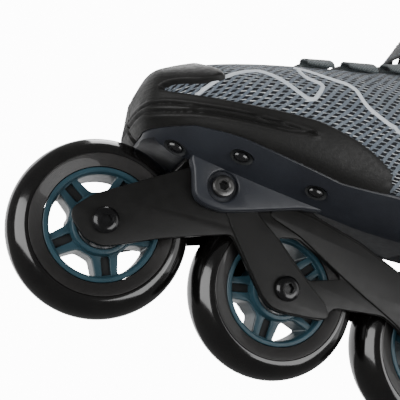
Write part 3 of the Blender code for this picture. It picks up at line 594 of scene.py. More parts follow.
def unit(vectors):
    return vectors / np.linalg.norm(vectors, axis=-1, keepdims=True)


def between(a, b, c, d, t):
    """The Catmull-Rom value between b and c."""
    return 0.5 * (2 * b + (c - a) * t + (2 * a - 5 * b + 4 * c - d) * t * t
                  + (3 * b - a - 3 * c + d) * t ** 3)


# ---------------------------------------------------------------- the boot's surface
# Stations, toe to cuff top: crest x, z; sole or back x, z; half width; sideways shift of the
# centre; squareness at the sole; squareness at the crest.
STATIONS = np.array((
    (-131.5, 107, -129.5, 98, 8, 4.0, 2.2, 2.2),
    (-129.5, 115, -127.0, 91, 23, 4.0, 2.5, 2.2),
    (-123.5, 119.4, -122.5, 87, 33, 4.0, 2.8, 2.2),
    (-109.0, 127.4, -109.0, 85, 41, 3.5, 3.3, 2.2),
    (-88.0, 136.3, -88.0, 85, 47, 2.5, 3.6, 2.2),
    (-59.0, 147.2, -60.0, 85, 50, 1.0, 3.6, 2.2),
    (-25.0, 161, -25.0, 86, 49, 0.0, 3.6, 2.2),
    (-3.0, 176, 20.0, 89.5, 45, 0.0, 3.4, 2.2),
    (8.0, 196, 75.0, 90.5, 41, 0.0, 3.0, 2.2),
    (12.0, 214, 128.0, 92.5, 38.5, 0.0, 2.5, 2.2),
    (11.5, 230, 150.0, 125, 38, 0.0, 2.2, 2.2),
    (10.0, 246, 146.0, 165, 38, 0.0, 2.1, 2.1),
    (8.0, 262, 139.0, 205, 41, 0.0, 2.1, 2.1),
    (5.0, 280, 138.0, 245, 45, 0.0, 2.1, 2.1),
    (2.0, 297, 143.0, 300, 48, 0.0, 2.1, 2.1),
))
LAST = len(STATIONS) - 1


def station(u):
    """Catmull-Rom reading of the station table at real station numbers."""
    i = np.clip(np.floor(u).astype(int), 0, LAST - 1)
    near = (STATIONS[np.clip(i + k, 0, LAST)] for k in (-1, 0, 1, 2))
    return between(*near, (u - i)[..., None])


def boot_base(u, v):
    """The boot's outer skin in mm; v runs round it: 0 sole or back, 0.25 outer side, 0.5 crest."""
    u, v = np.broadcast_arrays(np.asarray(u, float), np.asarray(v, float))
    top_x, top_z, low_x, low_z, half_width, centre_y, square_low, square_top = \
        np.moveaxis(station(u), -1, 0)
    c, s = np.cos(FULL_TURN * v), np.sin(FULL_TURN * v)
    power = 2 / np.where(c > 0, square_low, square_top)
    side = -np.sign(s) * np.abs(s) ** power
    rise = 0.5 * (1 - np.sign(c) * np.abs(c) ** power)
    rise = np.clip(rise, 0, 1) ** (1.25 - 0.25 * np.clip((u - 7) / 3, 0, 1))
    return np.stack([low_x + (top_x - low_x) * rise, centre_y + half_width * side,
                     low_z + (top_z - low_z) * rise], -1)


def boot_normal(u, v):
    u, v = np.broadcast_arrays(np.asarray(u, float), np.asarray(v, float))
    along = boot_base(np.minimum(u + 0.05, LAST), v) - boot_base(np.maximum(u - 0.05, 0), v)
    around = boot_base(u, v + 0.012) - boot_base(u, v - 0.012)
    normal = np.cross(along, around)
    return normal / np.maximum(np.linalg.norm(normal, axis=-1, keepdims=True), 1e-9)


def boot(u, v, offset=0.0):
    """A point of the boot's skin in mm, moved outward by an offset in mm."""
    offset = np.asarray(offset, float)
    return boot_base(u, v) + boot_normal(u, v) * offset[..., None]


def even_round(u, count):
    """v values evenly spaced by length round each whole section."""
    vs = np.linspace(0, 1, 240)
    result = []
    for one in u:
        run = run_along(boot_base(one, vs))
        result.append(np.interp(np.linspace(0, run[-1], count), run, vs))
    return np.array(result)


def lengths_of(points, column=None):
    """Each grid point's place in mm: along one column, and round from the middle column."""
    rows, cols = points.shape[:2]
    middle = cols // 2
    along = run_along(points[:, middle if column is None else column])
    steps = np.linalg.norm(np.diff(points, axis=1), axis=-1)
    around = np.concatenate([np.zeros((rows, 1)), np.cumsum(steps, axis=1)], axis=1)
    around = -np.abs(around - around[:, middle:middle + 1])
    return np.stack([np.broadcast_to(along[:, None], (rows, cols)), around], -1)


def smoothstep(low, high, value):
    t = np.clip((value - low) / (high - low), 0, 1)
    return t * t * (3 - 2 * t)


def from_segments(points, starts, ends):
    """Distance in mm of (x, z) points to the nearest of some straight pieces."""
    p = points[..., None, :]
    edge = ends - starts
    t = np.clip(((p - starts) * edge).sum(-1) / (edge ** 2).sum(-1), 0, 1)
    return np.linalg.norm(p - (starts + edge * t[..., None]), axis=-1).min(-1)


def signed_inside(points, outline):
    """Distance in mm of (x, z) points to an outline: positive inside, negative outside."""
    a = np.array(outline, float)
    b = np.roll(a, -1, axis=0)
    p = points[..., None, :]
    edge = b - a
    away = from_segments(points, a, b)
    crossing = (a[:, 1] > p[..., 1]) != (b[:, 1] > p[..., 1])
    height = np.where(edge[:, 1] == 0, 1e-9, edge[:, 1])
    left = p[..., 0] < a[:, 0] + (p[..., 1] - a[:, 1]) * edge[:, 0] / height
    inside = (crossing & left).sum(-1) % 2 == 1
    return np.where(inside, away, -away)


def line_distance(points, line):
    """Distance in mm of (x, z) points to an open line."""
    return from_segments(points, np.array(line[:-1], float), np.array(line[1:], float))


def drop_faces(obj, unwanted):
    """Delete the faces whose middle the test picks, and what is left loose."""
    bm = bmesh.new()
    bm.from_mesh(obj.data)
    picked = [f for f in bm.faces if unwanted(f)]
    bmesh.ops.delete(bm, geom=picked, context="FACES")
    loose = [v for v in bm.verts if not v.link_faces]
    bmesh.ops.delete(bm, geom=loose, context="VERTS")
    bm.to_mesh(obj.data)
    bm.free()
    return obj


def thicken(obj, thickness):
    """Give a sheet a thickness in mm, inward."""
    modifier = obj.modifiers.new("thickness", "SOLIDIFY")
    modifier.thickness = thickness * MM
    modifier.offset = -1
    return obj


def smooth_line(points, count):
    """A smooth open line of evenly spaced points through a few control points."""
    points = np.array(points, float)
    padded = np.concatenate([2 * points[:1] - points[1:2], points, 2 * points[-1:] - points[-2:-1]])
    result = [between(*padded[i:i + 4], t) for i in range(len(points) - 1)
              for t in np.linspace(0, 1, 16, endpoint=False)]
    result = np.array([*result, points[-1]])
    run = run_along(result)
    return read_at(np.linspace(0, run[-1], count), run, result)


def sweep(name, line, normals, section, mat):
    """Sweep a section of (across, out) points in mm along a line whose normals point out."""
    tangents = unit(np.gradient(line, axis=0))
    sides = unit(np.cross(tangents, normals))
    outs = np.cross(sides, tangents)
    section = np.array(section, float)
    points = line[:, None] + sides[:, None] * section[:, :1] + outs[:, None] * section[:, 1:]
    along, run = np.meshgrid(run_along(line), run_along(section), indexing="ij")
    return face_outward(surface(name, at_mm(points), mat, np.stack([along, run], -1),
                                closed=True, caps=True))


def round_section(radius, sides=12):
    angles = np.linspace(0, FULL_TURN, sides, endpoint=False)
    return np.stack([radius * np.cos(angles), radius * np.sin(angles)], -1)


def flat_section(width, thickness, lift=0.0):
    """A flat band's section with round edges, lying on its line."""
    edge = thickness * 0.35
    corners = [(-width / 2, lift), (width / 2, lift), (width / 2, lift + thickness),
               (-width / 2, lift + thickness)]
    return np.array(fillet(corners, edge, 2))


def dome_section(width, height, steps=7):
    """A low arch over a flat foot, for a welded line or a seam tape."""
    s = np.linspace(-1, 1, steps)
    arch = np.stack([s * width / 2, height * (1 - s ** 4)], -1)
    return np.concatenate([arch, [(width / 2, -0.3), (-width / 2, -0.3)]])


STITCH_STEPS = ((0, 0.3, -0.25), (0.2, 1, 0), (0.8, 1, 0), (1, 0.3, -0.25))
STITCH_SIDES = 6


def stitches(name, line, normals, mat, pitch=3.0, length=2.1, radius=0.32, lift=0.1):
    """A row of thread stitches lying on a surface."""
    run = run_along(line)
    angles = np.linspace(0, FULL_TURN, STITCH_SIDES, endpoint=False)
    points, faces = [], []
    for start in np.arange(pitch / 2, run[-1] - length, pitch):
        base = len(points)
        for k, (share, size, sink) in enumerate(STITCH_STEPS):
            s = start + length * share
            out = unit(read_at(s, run, normals))
            ahead = read_at(s + 0.2, run, line) - read_at(s - 0.2, run, line)
            side = np.cross(ahead, out)
            side /= max(np.linalg.norm(side), 1e-9)
            middle = read_at(s, run, line) + out * (lift + sink)
            for angle in angles:
                points.append(middle + (side * math.cos(angle) + out * math.sin(angle)) * radius * size)
            if k:
                low, high = base + (k - 1) * STITCH_SIDES, base + k * STITCH_SIDES
                for j in range(STITCH_SIDES):
                    n = (j + 1) % STITCH_SIDES
                    faces.append((low + j, low + n, high + n, high + j))
        faces.append(tuple(range(base, base + STITCH_SIDES)))
        faces.append(tuple(range(len(points) - 1, len(points) - 1 - STITCH_SIDES, -1)))
    mesh = bpy.data.meshes.new(name)
    mesh.from_pydata(at_mm(points).tolist(), [], faces)
    return smooth(face_outward(new_object(name, mesh, mat)), 60)


# ---------------------------------------------------------------- wheels
SPOKES = 5
SPOKE_STEP = FULL_TURN / SPOKES
HUB_PHASES = (7, 51, 29, 16)
HUB_DISC = 23.8
HUB_BORE = 12.6
BEARING_Y = 8.2
SHIELD_RADII = (0.0066, 0.0092)
BOLT_SEAT_Y = -18.3


def tyre_profile():
    side = [(25.15, 9.5), (25.4, 10.05), (27.6, 10.95), (29.4, 11.55), (30.4, 11.82)]
    groove = [(30.75, 11.86), (30.95, 11.62), (31.2, 11.84)]
    angles = np.linspace(0.075, math.pi / 2, 22)[1:-1]
    tread = [(30.5 + 9.5 * math.sin(a), 12.0 * math.cos(a)) for a in angles]
    return mirrored(side + groove + tread, [(40.0, 0.0)])


def turned(points, direction):
    """Points given along and across a direction, in the wheel's own plane."""
    along = np.array((math.cos(direction), math.sin(direction)))
    across = np.array((-along[1], along[0]))
    return [tuple(along * a + across * b) for a, b in points]


def hub_window(direction):
    """A window between two spokes, as seen from the side, with its corners rounded."""
    arc = [(22.35 * math.cos(a), 22.35 * math.sin(a)) for a in np.linspace(-0.415, 0.415, 9)]
    return fillet(turned([(14.3, -3.4), *arc, (14.3, 3.4)], direction), 1.5, 3)


def hub_slot(direction):
    """The recess down the middle of a spoke: round at the barrel, square at the rim."""
    end = [(15.2 - 1.9 * math.cos(a), 1.9 * math.sin(a)) for a in np.linspace(-1.5, 1.5, 9)]
    return turned([*end, (21.9, 1.9), (21.9, -1.9)], direction)


def make_hub(number, phase):
    """Two faces with windows and slots over a core painted near black as shade at the bottoms of the slots,
    between a rim and a barrel.
    """
    windows = [hub_window(phase + SPOKE_STEP * (k + 0.5)) for k in range(SPOKES)]
    slots = [hub_slot(phase + SPOKE_STEP * k) for k in range(SPOKES)]
    disc, bore = circle(0, 0, HUB_DISC, 96), circle(0, 0, HUB_BORE)
    # The core is painted near black: painted shade at the bottom of each spoke slot.
    parts = [slab("hub_core", disc, -6.3, 6.3, RECESS_SHADE, [bore, *[fillet(w, 0.01, 1) for w in windows]])]
    for low, high in ((6.1, 8.1), (-8.1, -6.1)):
        parts.append(slab("hub_face", disc, low, high, HUB, [bore, *windows, *slots], 0.42))
    parts.append(slab("hub_walls", circle(0, 0, HUB_DISC - 0.1, 96), -6.15, 6.15, HUB,
                      [bore, *[inner_window(w) for w in windows]]))
    rim = [(24.95, 10.0), (24.6, 10.25), (23.4, 10.25), (22.9, 9.9), (22.5, 8.6), (22.35, 7.0)]
    barrel = [(13.9, 7.6), (13.6, 10.8), (13.2, 11.7), (12.7, 11.95), (11.7, 11.95), (11.25, 11.5),
              (11.25, 4.4), (8.5, 4.4)]
    parts.append(lathe("hub_rim", mirrored(rim), HUB, 128, True))
    parts.append(lathe("hub_barrel", mirrored(barrel), HUB, 96, True))
    return join(f"hub_detail_{number}", parts, 32)


def inner_window(window):
    """The same window a hair smaller, so that its walls show in the hub's own colour."""
    middle = np.mean(np.array(window), axis=0)
    return [tuple(middle + (np.array(p) - middle) * 0.985) for p in window]


def make_bearing(name):
    """A steel ring with a dark shield on each face."""
    profile = [(11.0, 3.2), (10.7, 3.5), (9.5, 3.5), (9.3, 3.2), (9.2, 2.95), (6.6, 2.95), (6.4, 3.2),
               (6.2, 3.5), (4.6, 3.5), (4.25, 3.2)]
    ring = lathe(name, mirrored(profile), STEEL, 64, True)
    ring.data.materials.append(SHIELD)
    near, far = SHIELD_RADII
    for polygon in ring.data.polygons:
        if near < math.hypot(*polygon.center.xy) < far and abs(polygon.normal.z) > 0.8:
            polygon.material_index = 1
    return ring


def axle_bolt(number, place):
    """Domed head with a recessed hexagon socket, and the shank through both walls."""
    profile = [(3.85, 0.0), (5.2, 0.0), (5.65, 0.35), (5.65, 1.3), (5.2, 2.05), (4.2, 2.62),
               (3.2, 2.85), (2.75, 2.85), (2.6, 2.6)]
    # The socket's floor in glossy black: painted shade.
    head = socket_head(profile, BLACK_STEEL, 3.1, 0.9, 2.66, 2.35, (0.5, 0.95), SOLE_DARK, 0.4)
    shank = lathe("shank", [(3.85, 0.2), (3.85, -34.9), (3.4, -35.4), (0.0, -35.4)], BLACK_STEEL, 32)
    return across_skate(join(f"axle_bolt_detail_{number}", [*head, shank], 30), place)


def make_wheels():
    for number, x in enumerate(AXLE_XS, start=1):
        body = f"wheel_{number}"
        axle = Vector((x * MM, 0, AXLE_HEIGHT * MM + GROUND))
        tyre = lathe(f"tyre_detail_{number}", tyre_profile(), TYRE, 160, True)
        finish_piece(across_skate(tyre, axle), body, "urethane", f"tyre_{number}")
        hub = make_hub(number, math.radians(HUB_PHASES[number - 1]))
        finish_piece(across_skate(hub, axle), body, "hub_plastic", f"hub_{number}")
        for side, sign in SIDES:
            ring = make_bearing(f"bearing_detail_{side}_{number}")
            across_skate(ring, axle + Vector((0, sign * BEARING_Y * MM, 0)))
            finish_piece(ring, body, "steel", f"bearing_{side}_{number}")
        bolt = axle_bolt(number, axle + Vector((0, BOLT_SEAT_Y * MM, 0)))
        finish_piece(bolt, "skate", "black_steel", f"axle_bolt_{number}")


# ---------------------------------------------------------------- frame
FRONT_ARM_END = ((-120.8, 31.5), (-124.8, 29.7), (-132.5, 29.8), (-140, 35.3), (-142.5, 40.3),
                 (-136, 49.1))
WALL = (
    *FRONT_ARM_END, (-110.4, 68.8), (-99.9, 76.8), (-97, 81.8), (-45, 81.8), (-38, 77.2),
    (-12.6, 73.5), (9.5, 67), (26, 64.5), (42, 66), (55, 73), (62, 86.7), (104, 86.7),
    (108, 72.5), (136, 49.1), (142.5, 40.3), (140, 35.3), (132.5, 29.8), (124.8, 29.7),
    (120.8, 31.5), (103.5, 41.2), (92.2, 46.4), (73.4, 54.6), (52, 32.4), (47.5, 29.6),
    (41.5, 29.2), (30, 31.2), (22, 35.5), (15.9, 41.1), (6.7, 44.4), (-10.5, 41.1),
    (-18.4, 39.6), (-21.3, 32.3), (-41.5, 29.2), (-47.5, 29.6), (-52, 32.4), (-73.4, 54.6),
    (-92.2, 46.4), (-103.5, 41.2),
)
WALL_WINDOW = ((-52.3, 60.9), (-43.5, 63.9), (-31.2, 59.8), (-19.8, 55.1), (-18.1, 53.4),
               (-33.2, 47.2))
STRUT = ((-79, 62.2), (-73.4, 55.3), (-59.1, 39.9), (-52, 32.4), (-47.5, 29.6), (-41.5, 29.2),
         (-27.1, 31.4), (-20.4, 33.0), (-19.5, 35.7), (-22.4, 40.3), (-33.7, 47), (-42.6, 53.1),
         (-52.9, 61), (-63.5, 67.2), (-72, 76), (-88, 76))
BEAM = ((-59.3, 68.2), (-43.3, 64.7), (-20.2, 54.9), (-5.9, 49.3), (6.5, 44.9), (15.9, 41.1),
        (22, 35.5), (30, 31.2), (41.5, 29.2), (47.5, 29.6), (52, 32.4), (59.1, 39.9), (70, 52),
        (60, 60), (50, 56), (42, 55), (26, 61), (9.5, 66.4), (-12.6, 72.9), (-38, 76.4),
        (-60, 76.4))
REAR_STRUT = ((73.4, 55.3), (79, 62.2), (92, 76), (68, 76), (60, 60), (62, 50))
MOUNT_BOLTS = (("front", -85.1, 71.7), ("rear", 88.0, 76.0))


def inset(outline, distance):
    """The outline drawn in by a distance in millimetres."""
    points = np.array(outline, float)
    before, after = np.roll(points, 1, axis=0), np.roll(points, -1, axis=0)
    area = (points[:, 0] * after[:, 1] - after[:, 0] * points[:, 1]).sum()
    first, second = points - before, after - points
    first /= np.linalg.norm(first, axis=1, keepdims=True)
    second /= np.linalg.norm(second, axis=1, keepdims=True)
    normal = np.stack([-first[:, 1] - second[:, 1], first[:, 0] + second[:, 0]], -1)
    normal *= math.copysign(1.0, area)
    normal /= np.linalg.norm(normal, axis=1, keepdims=True)
    return [tuple(p) for p in points + normal * distance]


def make_frame():
    """Two walls with raised ribs, joined by the decks, and a boss at each end of each axle."""
    parts = []
    pieces = (("wall", WALL, (WALL_WINDOW,), 14.2, 17.0, 0.45),
              ("strut", inset(STRUT, 0.35), (), 15.6, 18.0, 0.7),
              ("beam", inset(BEAM, 0.35), (), 15.6, 17.8, 0.7),
              ("rear", inset(REAR_STRUT, 0.35), (), 15.6, 17.9, 0.7))
    for name, outline, holes, inner, outer, bevel in pieces:
        parts += side_pair(name, fillet(outline, 3.0, 4), inner, outer, FRAME_PAINT,
                           [fillet(hole, 2.2, 4) for hole in holes], bevel)
    for x in AXLE_XS:
        parts += side_pair("boss", circle(x, AXLE_HEIGHT, 6.5), 12.3, 15.0, FRAME_PAINT,
                           [circle(x, AXLE_HEIGHT, 4.2)], 0.3)
    for name, x0, x1, z in (("front_deck", -103, -65, 78.6), ("rear_deck", 66, 103, 83.5)):
        deck = fillet([(x0, z), (x1, z), (x1, z + 3), (x0, z + 3)], 0.8, 3)
        parts.append(side_slab(name, deck, -15.0, 15.0, FRAME_PAINT, (), 0.2))
    finish_piece(join("frame_detail", parts, 30), "skate", "frame_paint", "frame")


# ---------------------------------------------------------------- sole plate
PLATE_NOSE = 1.85
PLATE_START = 1.89
PLATE_REACH = ((4.0, 0.160), (5.0, 0.1365), (5.6, 0.1225), (6.2, 0.137), (8.2, 0.155))
FRONT_FLANGE = ((-103.5, 84), (-102.4, 78), (-100, 74.5), (-98, 69), (-96.6, 64.8), (-94.3, 62.4),
                (-91, 61.2), (-87, 60.9), (-80.9, 61.4), (-72.4, 64.9), (-48, 75.6), (-36, 78.5),
                (-36, 84))
RIVETS = ((-110.8, -22.9, 79.4), (-84.2, -34.6, 82.5), (-47.2, -33.6, 80.9), (62.0, -31.0, 85.5),
          (100.0, -29.0, 86.0))
# A lens, 12 mm long, that bites about 1.5 mm into the hull; the near-black cup that lines it, painted shade
# in the hollow; the rivet's head.
HOLLOW = ((0, -1.6), (2.8, -1.5), (4.5, -1.0), (5.6, -0.2), (6.1, 0.8), (6.1, 3.0), (0, 3.0))
SHADE_CUP = ((0, -1.3), (2.6, -1.2), (4.2, -0.7), (5.1, 0.1), (5.3, -0.4), (4.2, -1.2), (2.6, -1.7), (0, -1.8))
RIVET_HEAD = ((0, 1.5), (1.3, 1.35), (2.4, 0.8), (2.9, 0.0), (2.9, -0.6), (0, -0.6))
RIVET_SINK = 0.0009
CHANNEL_HALF = 0.0185
CHANNELS = ((-0.145, 0.022, 0.0821), (0.020, 0.160, 0.0870))
REAR_FLANGE = ((58, 88), (60, 79), (70, 70), (80, 67), (96, 67), (103, 72), (110, 80), (112, 88))


def sole_edge(u):
    """How far round the boot's section the sole plate reaches: narrow at its nose."""
    nose = 0.03 + 0.115 * np.sqrt(np.maximum(u - PLATE_NOSE, 0))
    reach = np.interp(u, [p[0] for p in PLATE_REACH], [p[1] for p in PLATE_REACH])
    return np.minimum(nose, reach)


def keel_height(x):
    rise = np.clip((x + 20) / 70, 0, 1)
    nose = np.clip((-117 - x) / 8, 0, 1)
    return 77 + 5.5 * rise * rise * (3 - 2 * rise) + 3 * nose * nose


def plate_hull(cells=29):
    """The hull that cups the sole, with a channel below for each of the frame's decks."""
    nose = PLATE_START + (2.35 - PLATE_START) * np.linspace(0, 1, 12, endpoint=False) ** 1.5
    us = np.concatenate([nose, np.linspace(2.35, 9.55, 110)])
    edge = sole_edge(us)
    inner = boot(us[:, None], edge[:, None] * np.linspace(-1, 1, cells), 1.2)
    lip = {sign: [boot(us, sign * (edge + 0.0035), out) for out in (1.5, 2.4)] for sign in (1, -1)}
    rims = {sign: boot(us, sign * edge, 3.0) for sign in (1, -1)}
    middle = station(us)
    keel = np.stack([middle[:, 2], middle[:, 5], keel_height(middle[:, 2])], -1)
    lower = []
    for s in np.linspace(1, -1, cells):
        flare = np.array([abs(s) ** 2.6, abs(s) ** 0.9, abs(s) ** 2.6])
        lower.append(keel + (rims[1 if s > 0 else -1] - keel) * flare)
    ring = [inner[:, k] for k in range(cells)] + lip[1] + lower + lip[-1][::-1]
    hull = face_outward(surface("plate_hull", at_mm(np.stack(ring, 1)), SOLE, closed=True, caps=True))
    for start, end, top in CHANNELS:
        hull = cut(hull, box_object("channel", (start, -CHANNEL_HALF, GROUND + 0.06),
                                    (end, CHANNEL_HALF, GROUND + top)))
    return hull


def on_hull(name, profile, mat, segments, place, scale):
    """Something turned, stretched along the hull and set at a place on it."""
    part = lathe(name, profile, mat, segments)
    part.matrix_world = place @ Matrix.Diagonal((*scale, 1, 1))
    return apply_place(part)


def make_base_plate():
    """The hull, its flanges, and its rivets in eye-shaped hollows, each hollow lined with a near-black cup
    as painted shade.
    """
    hull = plate_hull()
    rivets = []
    for x, y, z in RIVETS:
        for sign in (1, -1):
            spot = at_mm((x, y * sign, z))
            normal = Vector(rivet_normal(x)).normalized()
            normal.y *= sign
            along = (Vector((1, 0, 0)) - normal * normal.x).normalized()
            basis = Matrix((along, normal.cross(along), normal)).transposed().to_4x4()
            place = Matrix.Translation(spot) @ basis
            hull = cut(hull, on_hull("hollow", HOLLOW, SOLE, 40, place, (1, 0.6)))
            # A near-black cup lines each hollow: painted shade.
            rivets.append(on_hull("rivet_shade_cup", SHADE_CUP, RECESS_SHADE, 40, place, (1, 0.6)))
            sunk = Matrix.Translation(Vector(spot) - normal * RIVET_SINK) @ basis
            rivets.append(on_hull("rivet", RIVET_HEAD, SOLE_DARK, 32, sunk, (1.25, 0.85)))
    parts = [smooth(hull, 32)]
    for outline, (_, x, z) in zip((FRONT_FLANGE, REAR_FLANGE), MOUNT_BOLTS):
        soft = fillet(outline, 2.5, 4)
        parts += side_pair("flange_outer", soft, 20.7, 22.9, SOLE, [circle(x, z, 6.8)], 1.2)
        parts += side_pair("flange_inner", soft, 18.0, 20.9, SOLE, [circle(x, z, 3.3)], 0.1)
    finish_piece(join("base_plate_detail", parts, 32), "skate", "sole_plastic", "base_plate")
    finish_piece(join("sole_rivets", rivets, 40), "skate", "sole_plastic")


def rivet_normal(x):
    """The hull's outward direction near a rivet: mostly outward, a little down."""
    return (-0.22, -0.62, -0.75) if x < -100 else (0.0, -0.75, -0.62)


def make_mount_bolts():
    profile = [(2.9, 0.0), (4.7, 0.0), (4.9, 0.3), (4.9, 2.2), (4.5, 2.8), (4.0, 3.0), (2.75, 3.0),
               (2.5, 2.75)]
    for name, x, z in MOUNT_BOLTS:
        height = z * MM + GROUND
        # The socket's floor in black steel: painted shade.
        head = socket_head(profile, DARK_STEEL, 3.0, 1.0, 2.8, 2.3, (0.6, 1.05), BLACK_STEEL)
        shank = lathe("bolt_shank", [(2.9, 0.2), (2.9, -44.0), (2.4, -44.4), (0, -44.4)], STEEL, 32)
        bolt = join(f"{name}_mount_bolt_detail", [*head, shank], 30)
        across_skate(bolt, (x * MM, -21.2 * MM, height))
        finish_piece(bolt, "skate", "steel", f"{name}_mount_bolt")
        nut = slab(f"{name}_mount_nut_detail", circle(0, 0, 5.2, 6), 0, 2.2, STEEL,
                   [circle(0, 0, 3.65, 32)], 0.3)
        across_skate(nut, (x * MM, 23.4 * MM, height))
        finish_piece(nut, "skate", "steel", f"{name}_mount_nut")


# ---------------------------------------------------------------- toe cap, upper and lining
NOSE_SHARES = (0.0, 0.25, 0.5, 0.75, 0.92)
CAP_OUTER = 2.7
CAP_SIDE = ((-150, 76), (-60, 80), (-17.5, 84), (-17.5, 90), (-19, 94), (-22.5, 98),
            (-31, 101.2), (-40.5, 103.6), (-50, 104.7), (-60.5, 105.3), (-71.5, 104.2),
            (-80, 103.3), (-91, 101.8), (-100.3, 100.8), (-110.8, 99.8), (-119.4, 99.2),
            (-123.6, 99.6), (-124.2, 101), (-121.6, 103), (-116.8, 104.5), (-111.3, 105.6),
            (-105.4, 108.3), (-102.4, 111), (-102.8, 113.2), (-106, 114.8), (-111.5, 117),
            (-114.5, 122), (-115, 150), (-150, 150))
CAP_GROOVES = (
    ((-134, 99.5), (-132.4, 98.6), (-130.8, 95.3), (-127.6, 93.4), (-118.2, 94.2), (-107.2, 95.1),
     (-89, 97), (-72.9, 98.1), (-61, 98.8)),
    ((-134, 97.6), (-132, 96.6), (-130, 92.5), (-126.7, 91.2), (-117.2, 91.6), (-106.4, 93.1),
     (-88.2, 95.1), (-72.2, 96.5), (-61, 98.8)),
)


def nose_rows(points, bulge):
    """Rows that close the boot's small first ring, pushed a little forward in the middle."""
    ring = points[0]
    centre = ring.mean(axis=0)
    rows = []
    for share in NOSE_SHARES:
        row = centre + (ring - centre) * share
        row[:, 0] -= bulge * (1 - share ** 2)
        rows.append(row)
    return np.concatenate([np.array(rows), points])


def make_toe_cap():
    rows, cols = 130, 420
    us = 6.6 * np.linspace(0, 1, rows) ** 1.15
    vs = even_round(us, cols)
    base = boot_base(us[:, None], vs)
    side = base[..., [0, 2]]
    inside = signed_inside(side, fillet(CAP_SIDE, 2.0, 3))
    crown = 1 - 0.5 * smoothstep(0.22, 0.10, np.abs(vs - 0.5))
    grown = -0.5 + (CAP_OUTER * crown + 0.5) * smoothstep(-0.5, 1.1, inside)
    for groove in CAP_GROOVES:
        away = line_distance(side, smooth_line(groove, 60))
        grown -= 1.0 * np.exp(-(away / 0.40) ** 2) - 0.35 * np.exp(-((away - 1.0) / 0.5) ** 2)
    grown += 0.7 * np.exp(-((side[..., 1] - 90.0) / 3.2) ** 2) * smoothstep(0, 3, inside)
    sole_side = np.minimum(vs, 1 - vs)
    edge = np.where(us > PLATE_START, sole_edge(us), 0.0)[:, None]
    behind_plate = 1 - smoothstep(edge - 0.002, edge + 0.006, sole_side)
    grown = grown * (1 - behind_plate) + 0.7 * behind_plate
    points = base + boot_normal(us[:, None], vs) * grown[..., None]
    cap = surface("toe_cap_detail", at_mm(nose_rows(points, 0.8)), RUBBER)
    keep = np.concatenate([np.full((len(NOSE_SHARES), cols), 5.0), inside])
    corners = (keep[:-1, :-1] + keep[1:, :-1] + keep[1:, 1:] + keep[:-1, 1:]) / 4
    unwanted = (corners < -0.7).ravel()
    drop_faces(cap, lambda f: unwanted[f.index])
    smooth(cap, 60)
    finish_piece(cap, "skate", "rubber", "toe_cap")


def ankle_line(v):
    back = np.cos(FULL_TURN * v)
    return 9.55 + 1.25 * np.maximum(back, 0) ** 1.5 - 0.55 * np.maximum(-back, 0)


def throat_outline(x_front, half_front, half_back):
    """The lacing opening seen from above."""
    return [(x_front, -half_front * 0.5), (x_front + 4, -half_front), (0, -half_back), (45, -half_back),
            (45, half_back), (0, half_back), (x_front + 4, half_front), (x_front, half_front * 0.5)]


def open_throat(obj, outline, lowest):
    """Cut the lacing opening through the crest: split along its edges, then drop the inside."""
    bm = bmesh.new()
    bm.from_mesh(obj.data)
    count = len(outline)
    for i in range(count):
        a, b = outline[i], outline[(i + 1) % count]
        normal = Vector((b[1] - a[1], a[0] - b[0], 0)).normalized()
        place = Vector((a[0] * MM, a[1] * MM, 0))
        near = [f for f in bm.faces if f.calc_center_median().z > lowest * MM + GROUND]
        geom = near + list({e for f in near for e in f.edges}) + list({v for f in near for v in f.verts})
        bmesh.ops.bisect_plane(bm, geom=geom, dist=1e-6, plane_co=place, plane_no=normal)
    bm.to_mesh(obj.data)
    bm.free()

    def inside(face):
        centre = face.calc_center_median()
        if centre.z < lowest * MM + GROUND:
            return False
        x, y = centre.x / MM, centre.y / MM
        turns = [(b[0] - a[0]) * (y - a[1]) - (b[1] - a[1]) * (x - a[0]) > 0
                 for a, b in zip(outline, outline[1:] + outline[:1])]
        return all(turns)

    drop_faces(obj, inside)
    return obj


def sock(name, mat, offset, u_low, rows, cols, nose=False):
    """A sleeve of the boot's skin from a station near the toe up to the ankle line."""
    share = np.linspace(0, 1, rows)[:, None]
    flat = even_round(u_low + (ankle_line(0.0) - u_low) * share[:, 0], cols)
    points = boot(u_low + (ankle_line(flat) - u_low) * share, flat, offset)
    if nose:
        points = nose_rows(points, 0.2)
    return surface(name, at_mm(points), mat, lengths_of(points, cols // 4))


THROAT = throat_outline(-71, 15, 22)
THROAT_FLOOR = 128


def on_boot(places, us, vs, second):
    """Station and angle of points read in one view: x, and y (1) or z (2), in mm."""
    us, vs = np.meshgrid(us, vs, indexing="ij")
    base = boot_base(us, vs)
    best = [np.argmin((base[..., 0] - a) ** 2 + (base[..., second] - b) ** 2) for a, b in places]
    return smooth_rows(np.stack([us.ravel()[best], vs.ravel()[best]], -1))


def smooth_rows(rows, rounds=2):
    for _ in range(rounds):
        rows[1:-1] = (rows[:-2] + 2 * rows[1:-1] + rows[2:]) / 4
    return rows


def line_on_boot(name, path, section, mat, mirror=False):
    """Sweep a section along a path of stations and angles on the boot."""
    u, v = path[:, 0], (1 - path[:, 1] if mirror else path[:, 1])
    return sweep(name, boot(u, v), boot_normal(u, v), section, mat)


WELD_FRONT = ((-111.8, 99.0), (-110.5, 101.5), (-107, 107.1), (-104.1, 110.6), (-98.9, 115.5),
              (-92.9, 119.5), (-88.8, 120.9), (-82.6, 119.8), (-76, 117.1), (-70, 114.3), (-67, 113.5),
              (-65, 114.4), (-64, 116.2), (-62.6, 120.7), (-62.2, 123.0), (-64.2, 124.1),
              (-68.6, 124.7), (-71.0, 126.6), (-72.3, 129.5))
WELD_REAR = ((-74, 131.0), (-69, 131.0), (-58.6, 129.4), (-51.9, 129.5), (-48.7, 128.4), (-46.8, 127.5),
             (-42.2, 122.2), (-39, 120.3), (-31.1, 118), (-22.8, 116.5), (-5, 114.5), (15, 113),
             (40, 116), (58, 124))


